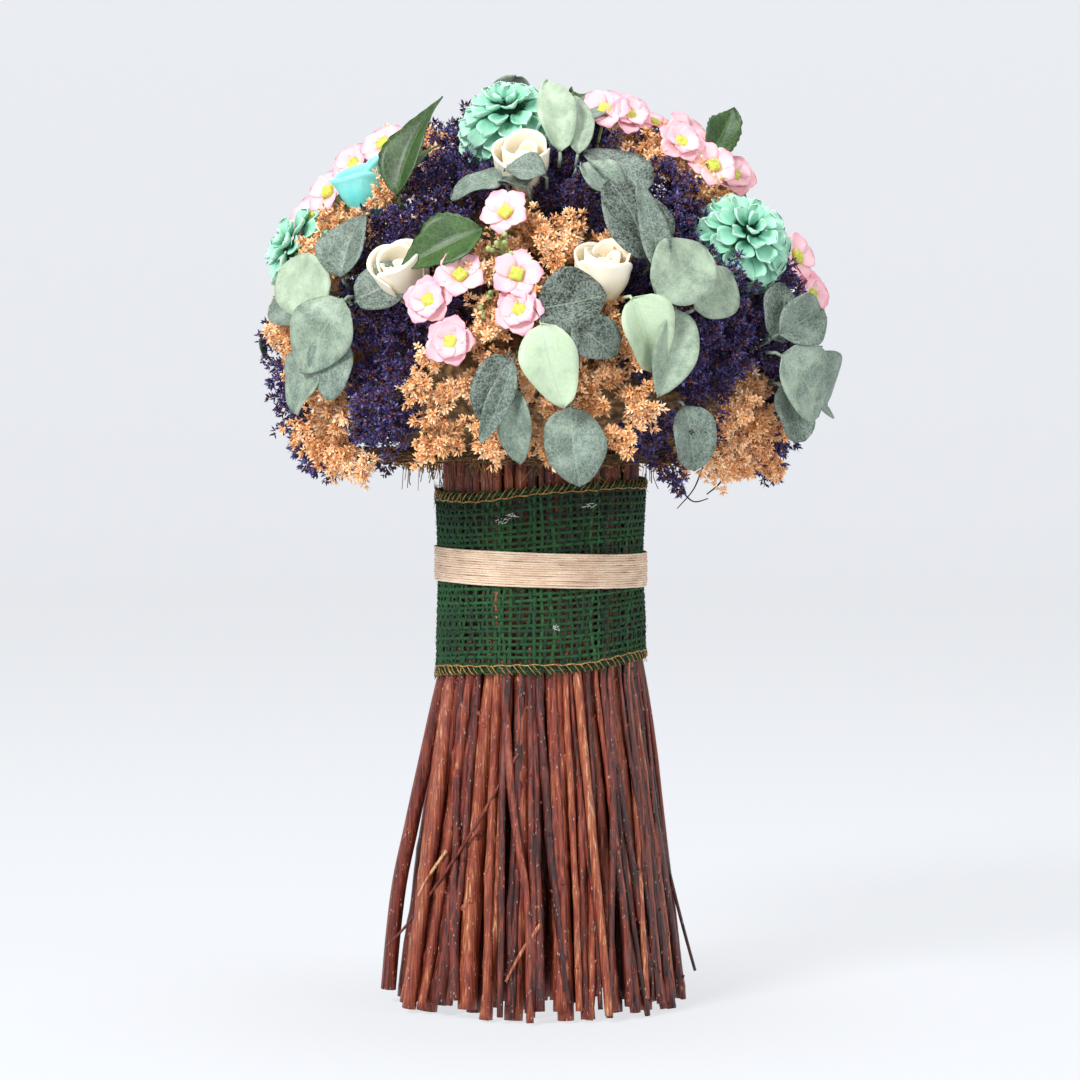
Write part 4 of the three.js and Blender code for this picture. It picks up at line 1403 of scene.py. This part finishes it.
def leaf_mesh(length, width, kind, rng, tone):
    """A leaf on a short stalk that starts at the origin and runs along +X."""
    bend = rng.uniform(0.05, 0.4)
    fold = rng.uniform(0.05, 0.6)
    sweep = rng.uniform(-0.15, 0.15)
    wave = rng.uniform(0.6, 2.0) * MM
    phase = rng.uniform(0, 6)
    pointed = kind == "dark_leaf"

    def form(u, w):
        peak = math.sin(math.pi * min(1.0, max(0.0, u)) ** (0.75 if pointed else 0.86))
        half = width / 2 * max(0.0, peak) ** (0.95 if pointed else 0.58)
        if pointed and abs(w) > 0.9:
            half *= 1 - 0.12 * ((u * 11) % 1)
        edge = 1 + 0.05 * math.sin(u * 8 + phase * (1 if w > 0 else 2))
        ripple = wave * math.sin(u * 7 + phase + w * 1.5) * abs(w)
        z = -bend * u * u * length + fold * abs(w) * half + ripple
        y = w * half * edge + sweep * u * u * length
        return 0.06 * length + u * length * 0.94, y, z

    return bent_grid(22 if pointed else 16, 8, form, tone=tone)


def press_leaf(bm, place, length, width, kind, rng, tone):
    """Adds a leaf and its stalk at a place."""
    Stamp(leaf_mesh(length, width, kind, rng, tone)).press(bm, place)
    start = place @ Vector((0.14 * length, 0, -0.3 * MM))
    foot = place @ Vector((-0.02 * length, 0, -8 * MM))
    middle = place @ Vector((0.02 * length, 0, -2 * MM))
    tube(bm, [foot, middle, start], [0.6 * MM, 0.5 * MM, 0.35 * MM], 5, tone)


# More leaves than the frame has: kind, turn, rise, lie, length and width, height over the dome,
# how far the tip stands off the dome, and the tone from dark to pale.
MORE_LEAVES = [
    # the left group
    ("eucalyptus", -46, 18, -8, 30, 21, 6, 4, 0.3), ("eucalyptus", -47, 14, -72, 34, 27, 7, 0, 0.72),
    ("eucalyptus", -42, 15, -152, 38, 29, 9, 0, 0.55), ("eucalyptus", -42, 14, 62, 28, 20, 5, 0, 0.22),
    ("eucalyptus", -44, 8, -160, 28, 22, 5, 0, 0.38),
    # the top
    ("eucalyptus", 6, 48, -2, 40, 16, 5, 26, 0.75), ("eucalyptus", 11, 48, 12, 34, 12, 4, 22, 0.6),
    ("eucalyptus", 2, 42, -75, 18, 14, 6, 6, 0.3), ("eucalyptus", 10, 45, 125, 25, 17, 7, 0, 0.5),
    ("eucalyptus", -9, 41, -85, 24, 14, 5, 0, 0.42), ("eucalyptus", -3, 40, -40, 18, 16, 3, 0, 0.2),
    # round the right cream bud
    ("eucalyptus", 24, 21, -10, 40, 29, 4, 10, 0.06), ("eucalyptus", 24, 18, 4, 42, 13, 9, 6, 0.28),
    ("eucalyptus", 22, 14, 52, 38, 29, 10, 0, 0.62), ("eucalyptus", 18, 15, 158, 31, 24, 8, 0, 0.9),
    ("eucalyptus", 28, 13, 188, 37, 20, 7, 0, 0.6),
    # the dark ones in the middle
    ("eucalyptus", -2, 12, 82, 31, 27, 6, 0, 0.03), ("eucalyptus", 6, 10, 132, 23, 19, 7, 0, 0.12),
    # the hanging group at the front
    ("eucalyptus", -6, 4, 206, 31, 19, 6, 0, 0.1), ("eucalyptus", -5, 3, 194, 37, 10, 9, 0, 0.25),
    ("eucalyptus", 0, 10, 172, 36, 23, 10, 0, 0.92), ("eucalyptus", -5, -2, 184, 33, 14, 7, 0, 0.5),
    # the right
    ("eucalyptus", 54, 6, 40, 30, 22, 4, 0, 0.15), ("eucalyptus", 54, 7, 70, 32, 22, 7, 0, 0.32),
    ("eucalyptus", 53, 4, 128, 36, 28, 9, 0, 0.5), ("eucalyptus", 57, -2, 150, 28, 20, 5, 0, 0.3),
    ("dark_leaf", -12, 30, -118, 40, 24, 4, 0, 0.5), ("dark_leaf", -37, 35, 2, 48, 20, 7, 22, 0.3),
    ("dark_leaf", 62, 48, 62, 36, 16, 5, 14, 0.35), ("dark_leaf", 30, 70, 10, 20, 9, 3, 25, 0.5),
    # the back
    ("eucalyptus", -146, 12, 150, 36, 28, 6, 0, 0.5), ("eucalyptus", -150, 14, 205, 34, 24, 4, 0, 0.2),
    ("eucalyptus", -142, 14, 95, 30, 22, 4, 0, 0.7), ("eucalyptus", 146, 20, 100, 32, 24, 6, 0, 0.15),
    ("eucalyptus", 144, 16, 160, 34, 24, 5, 0, 0.6), ("eucalyptus", -110, 30, -60, 34, 24, 4, 6, 0.4),
    ("eucalyptus", -106, 28, 10, 30, 20, 4, 10, 0.2), ("eucalyptus", 108, 34, 40, 34, 24, 4, 8, 0.55),
    ("eucalyptus", 150, 24, 60, 36, 28, 4, 10, 0.4), ("eucalyptus", -170, 30, -40, 36, 26, 4, 12, 0.6),
    ("eucalyptus", 118, 18, 120, 34, 26, 4, 10, 0.5), ("eucalyptus", -120, 8, 220, 36, 28, 4, 8, 0.35),
    ("eucalyptus", 170, -4, 170, 36, 28, 4, 4, 0.6), ("eucalyptus", -160, 66, 10, 34, 20, 3, 20, 0.5),
    ("dark_leaf", 150, 52, -30, 38, 14, 4, 14, 0.4), ("dark_leaf", -130, 50, 30, 34, 16, 4, 12, 0.45),
]


LEAF_WIDTH = {"eucalyptus": 0.74, "dark_leaf": 0.42}  # of its length


def build_leaves():
    """The leaves: one piece for each of the frame's, and the rest by kind."""
    rng = random.Random(83)
    for name in NODES:
        kind = "eucalyptus" if name.startswith("eucalyptus") else "dark_leaf"
        if not name.startswith(kind):
            continue
        out = axis_of(name)
        tip = reach_of(name, out)
        along = tip - (DOME + out * (tip - DOME).dot(out))
        length = along.length * 1.06
        width = LEAF_WIDTH[kind] * length
        stand = (out * 0.12 + along.normalized()).normalized()
        origin = DOME + out * (DOME_RADIUS + (0.5 if out.z < 0 else 4.5) * MM)
        place = basis(out - along.normalized() * 0.12, stand, origin)
        bm = start_mesh()
        tone = {"pale": 0.42, "dark": 0.12, "grey": 0.6}.get(name.split("_")[-1], rng.uniform(0.3, 0.65))
        press_leaf(bm, place, length, width, kind, rng, tone)
        piece = thickened(new_piece(name + "_blade", bm, [kind], mapped=True), 0.5 * MM)
        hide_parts(name)
    groups = {}
    for kind, turn, rise, lie, length, width, height, stand, tone in MORE_LEAVES:
        side = "front" if abs(turn) < 95 else "back"
        bm = groups.setdefault((kind, side), start_mesh())
        out = facing(turn, rise)
        along = lying(out, lie)
        angle = math.radians(stand)
        face = out * math.cos(angle) - along * math.sin(angle)
        if 38 < abs(turn) < 95:
            face = face + Vector((0, -0.75, 0.1))
        origin = DOME + out * (DOME_RADIUS + height * MM)
        place = basis(face, along, origin)
        press_leaf(bm, place, length * MM, width * MM, kind, rng, tone)
    for (kind, side), bm in groups.items():
        piece = thickened(new_piece(f"more_{kind}_{side}", bm, [kind], mapped=True), 0.5 * MM)




# ---- the stage ----


# name, place, size in metres and power in watts of each soft lamp
LAMPS = (
    ("key", (-1.3, -1.8, 1.7), 0.75, 74), ("fill", (1.9, -1.6, 0.9), 1.4, 20), ("top", (0.1, 0.2, 2.2), 1.0, 20),
)
LIT_POINT = Vector((0, 0, 0.22))
CAMERA_DISTANCE = 1.7
VIEW_WIDTH = 0.464  # what the camera takes in at the bunch's axis
CAMERA_AIM = Vector((0, 0, 0.2))


def turned_to(spot, aim):
    """The rotation of a lamp or camera at a spot that looks at a point."""
    return (aim - spot).to_track_quat("-Z", "Y").to_euler()


def build_stage():
    """A pale round sweep, soft light from the upper left and the camera."""
    scene = bpy.context.scene
    bm = bmesh.new()
    wall, high, bend = 4.5, 1.7, 0.9
    line = [bm.verts.new((0, 0, 0)), bm.verts.new((0, wall - bend, 0))]
    for k in range(1, 9):
        a = math.pi / 2 * k / 8
        line.append(bm.verts.new((0, wall - bend + bend * math.sin(a), bend - bend * math.cos(a))))
    line.append(bm.verts.new((0, wall, high)))
    edges = [bm.edges.new(pair) for pair in zip(line, line[1:])]
    bmesh.ops.spin(bm, geom=line + edges, cent=(0, 0, 0), axis=(0, 0, 1), angle=2 * math.pi, steps=64,
                   use_merge=True)
    bmesh.ops.remove_doubles(bm, verts=bm.verts, dist=1 * MM)
    bmesh.ops.recalc_face_normals(bm, faces=bm.faces)
    mesh = as_mesh(bm, "sweep")
    mesh.materials.append(material("floor"))
    sweep = bpy.data.objects.new("sweep", mesh)
    mesh.polygons.foreach_set("use_smooth", [True] * len(mesh.polygons))
    scene.collection.objects.link(sweep)
    for name, spot, size, watts in LAMPS:
        lamp = bpy.data.lights.new(name, "AREA")
        lamp.size = size
        lamp.energy = watts
        light = bpy.data.objects.new(name, lamp)
        light.location = spot
        light.rotation_euler = turned_to(Vector(spot), LIT_POINT)
        scene.collection.objects.link(light)
    world = bpy.data.worlds.new("studio")
    world.use_nodes = True
    background = world.node_tree.nodes["Background"]
    background.inputs["Color"].default_value = colour("#eef1f6")
    background.inputs["Strength"].default_value = 0.36
    scene.world = world
    scene.view_settings.view_transform = "Standard"
    camera = bpy.data.objects.new("camera", bpy.data.cameras.new("camera"))
    camera.data.lens = camera.data.sensor_width * CAMERA_DISTANCE / VIEW_WIDTH
    camera.location = (0, -CAMERA_DISTANCE, 0.27)
    camera.rotation_euler = turned_to(camera.location, CAMERA_AIM)
    camera.data.clip_start = 0.01
    scene.collection.objects.link(camera)
    scene.camera = camera


# ---- the add-on ----


class DriedFlowerSettings(bpy.types.PropertyGroup):
    """The sizes and colours that a user would change."""

    weave_pitch: bpy.props.FloatProperty(
        name="Weave pitch", description="From one burlap thread to the next", default=2.6 * MM,
        unit="LENGTH", subtype="DISTANCE",
    )
    hairs: bpy.props.IntProperty(
        name="Hairs", description="How many loose jute hairs the ribbon has", default=900, min=0
    )
    twine_turns: bpy.props.IntProperty(
        name="Twine turns", description="How often the twine goes round", default=15, min=1
    )
    orange_spacing: bpy.props.FloatProperty(
        name="Orange spacing", description="From one orange sprig to the next", default=10 * MM,
        unit="LENGTH", subtype="DISTANCE",
    )
    navy_spacing: bpy.props.FloatProperty(
        name="Navy spacing", description="From one navy sprig to the next", default=12 * MM,
        unit="LENGTH", subtype="DISTANCE",
    )
    floret_density: bpy.props.FloatProperty(
        name="Floret density", description="Florets on a sprig, as a share of the usual", default=1.0
    )
    bark_colour: bpy.props.FloatVectorProperty(
        name="Bark colour", description="Of the twigs' bark, where it is neither dark nor worn pale",
        default=colour("#7c3120")[:3], subtype="COLOR", size=3, min=0, max=1,
    )
    ribbon_colour: bpy.props.FloatVectorProperty(
        name="Ribbon colour", description="Of the dyed jute",
        default=colour("#174a20")[:3], subtype="COLOR", size=3, min=0, max=1,
    )
    stitching_colour: bpy.props.FloatVectorProperty(
        name="Stitching colour", description="Of the overlock thread",
        default=colour("#a47a3c")[:3], subtype="COLOR", size=3, min=0, max=1,
    )
    twine_colour: bpy.props.FloatVectorProperty(
        name="Twine colour", description="Of the bleached jute",
        default=colour("#e2cab0")[:3], subtype="COLOR", size=3, min=0, max=1,
    )
    orange_colour: bpy.props.FloatVectorProperty(
        name="Orange colour", description="Of the orange florets' middle",
        default=colour("#f0b478")[:3], subtype="COLOR", size=3, min=0, max=1,
    )
    navy_colour: bpy.props.FloatVectorProperty(
        name="Navy colour", description="Of the navy florets' middle",
        default=colour("#262049")[:3], subtype="COLOR", size=3, min=0, max=1,
    )
    mint_colour: bpy.props.FloatVectorProperty(
        name="Mint colour", description="Of the mint flowers' petals",
        default=colour("#8fd0b2")[:3], subtype="COLOR", size=3, min=0, max=1,
    )
    turquoise_colour: bpy.props.FloatVectorProperty(
        name="Turquoise colour", description="Of the turquoise bud's petals",
        default=colour("#62dcd8")[:3], subtype="COLOR", size=3, min=0, max=1,
    )
    cream_colour: bpy.props.FloatVectorProperty(
        name="Cream colour", description="Of the cream buds' petals",
        default=colour("#faecd0")[:3], subtype="COLOR", size=3, min=0, max=1,
    )
    pink_colour: bpy.props.FloatVectorProperty(
        name="Pink colour", description="Of the blossoms' petals",
        default=colour("#f7c1c8")[:3], subtype="COLOR", size=3, min=0, max=1,
    )
    eucalyptus_colour: bpy.props.FloatVectorProperty(
        name="Eucalyptus colour", description="Of the eucalyptus leaves, where they are neither dark nor pale",
        default=colour("#66776a")[:3], subtype="COLOR", size=3, min=0, max=1,
    )
    dark_leaf_colour: bpy.props.FloatVectorProperty(
        name="Dark leaf colour", description="Of the dark green leaves",
        default=colour("#2c4a22")[:3], subtype="COLOR", size=3, min=0, max=1,
    )


def props():
    """The settings in use."""
    return bpy.context.scene.dried_flowers


class BuildTwigs(bpy.types.Operator):
    """Builds the bundle of twigs."""

    bl_idname = "dried_flowers.twigs"
    bl_label = "Twigs"

    def execute(self, context):
        build_frame_twigs()
        build_thin_twigs()
        build_inner_twigs()
        build_stray_twigs()
        return {"FINISHED"}


class BuildRibbon(bpy.types.Operator):
    """Builds the burlap ribbon with its stitching and fuzz."""

    bl_idname = "dried_flowers.ribbon"
    bl_label = "Burlap ribbon"

    def execute(self, context):
        build_burlap()
        return {"FINISHED"}


class BuildTwine(bpy.types.Operator):
    """Builds the band of twine."""

    bl_idname = "dried_flowers.twine"
    bl_label = "Twine"

    def execute(self, context):
        build_twine()
        return {"FINISHED"}


class BuildNest(bpy.types.Operator):
    """Builds the nest of dry grass."""

    bl_idname = "dried_flowers.nest"
    bl_label = "Grass nest"

    def execute(self, context):
        build_nest()
        return {"FINISHED"}


class BuildClusters(bpy.types.Operator):
    """Builds the clusters of orange and navy florets."""

    bl_idname = "dried_flowers.clusters"
    bl_label = "Filler clusters"

    def execute(self, context):
        build_clusters()
        return {"FINISHED"}


class BuildSolaFlowers(bpy.types.Operator):
    """Builds the mint, cream and turquoise flowers of sola pith."""

    bl_idname = "dried_flowers.sola"
    bl_label = "Sola flowers"

    def execute(self, context):
        for i, name in enumerate(n for n in NODES if n.startswith("mint_flower")):
            build_mint_flower(name, 200 + i)
        for i, name in enumerate(n for n in NODES if n.startswith("cream_rosebud")):
            build_cream_bud(name, 2 + i)
        build_turquoise_bud("turquoise_bud")
        return {"FINISHED"}


class BuildBlossoms(bpy.types.Operator):
    """Builds the pink blossoms and the green buds."""

    bl_idname = "dried_flowers.blossoms"
    bl_label = "Blossoms"

    def execute(self, context):
        build_blossoms()
        build_green_buds()
        return {"FINISHED"}


class BuildLeaves(bpy.types.Operator):
    """Builds the eucalyptus and the dark green leaves."""

    bl_idname = "dried_flowers.leaves"
    bl_label = "Leaves"

    def execute(self, context):
        build_leaves()
        return {"FINISHED"}


class BuildStage(bpy.types.Operator):
    """Builds the sweep, the lights and the camera."""

    bl_idname = "dried_flowers.stage"
    bl_label = "Stage"

    def execute(self, context):
        build_stage()
        return {"FINISHED"}


OPERATORS = (
    BuildTwigs, BuildRibbon, BuildTwine, BuildNest, BuildClusters, BuildSolaFlowers, BuildBlossoms,
    BuildLeaves, BuildStage,
)


class DriedFlowerPanel(bpy.types.Panel):
    """Lists the steps and the settings."""

    bl_idname = "VIEW3D_PT_dried_flowers"
    bl_label = "Dried flowers"
    bl_space_type = "VIEW_3D"
    bl_region_type = "UI"
    bl_category = "Dried flowers"

    def draw(self, context):
        for name in DriedFlowerSettings.__annotations__:
            self.layout.prop(props(), name)
        for step in OPERATORS:
            self.layout.operator(step.bl_idname)


CLASSES = (DriedFlowerSettings, *OPERATORS, DriedFlowerPanel)


def register():
    for cls in CLASSES:
        bpy.utils.register_class(cls)
    bpy.types.Scene.dried_flowers = bpy.props.PointerProperty(type=DriedFlowerSettings)


def unregister():
    del bpy.types.Scene.dried_flowers
    for cls in reversed(CLASSES):
        bpy.utils.unregister_class(cls)


def main():
    register()
    for step in OPERATORS:
        group, name = step.bl_idname.split(".")
        getattr(getattr(bpy.ops, group), name)()


if __name__ == "__main__":
    main()
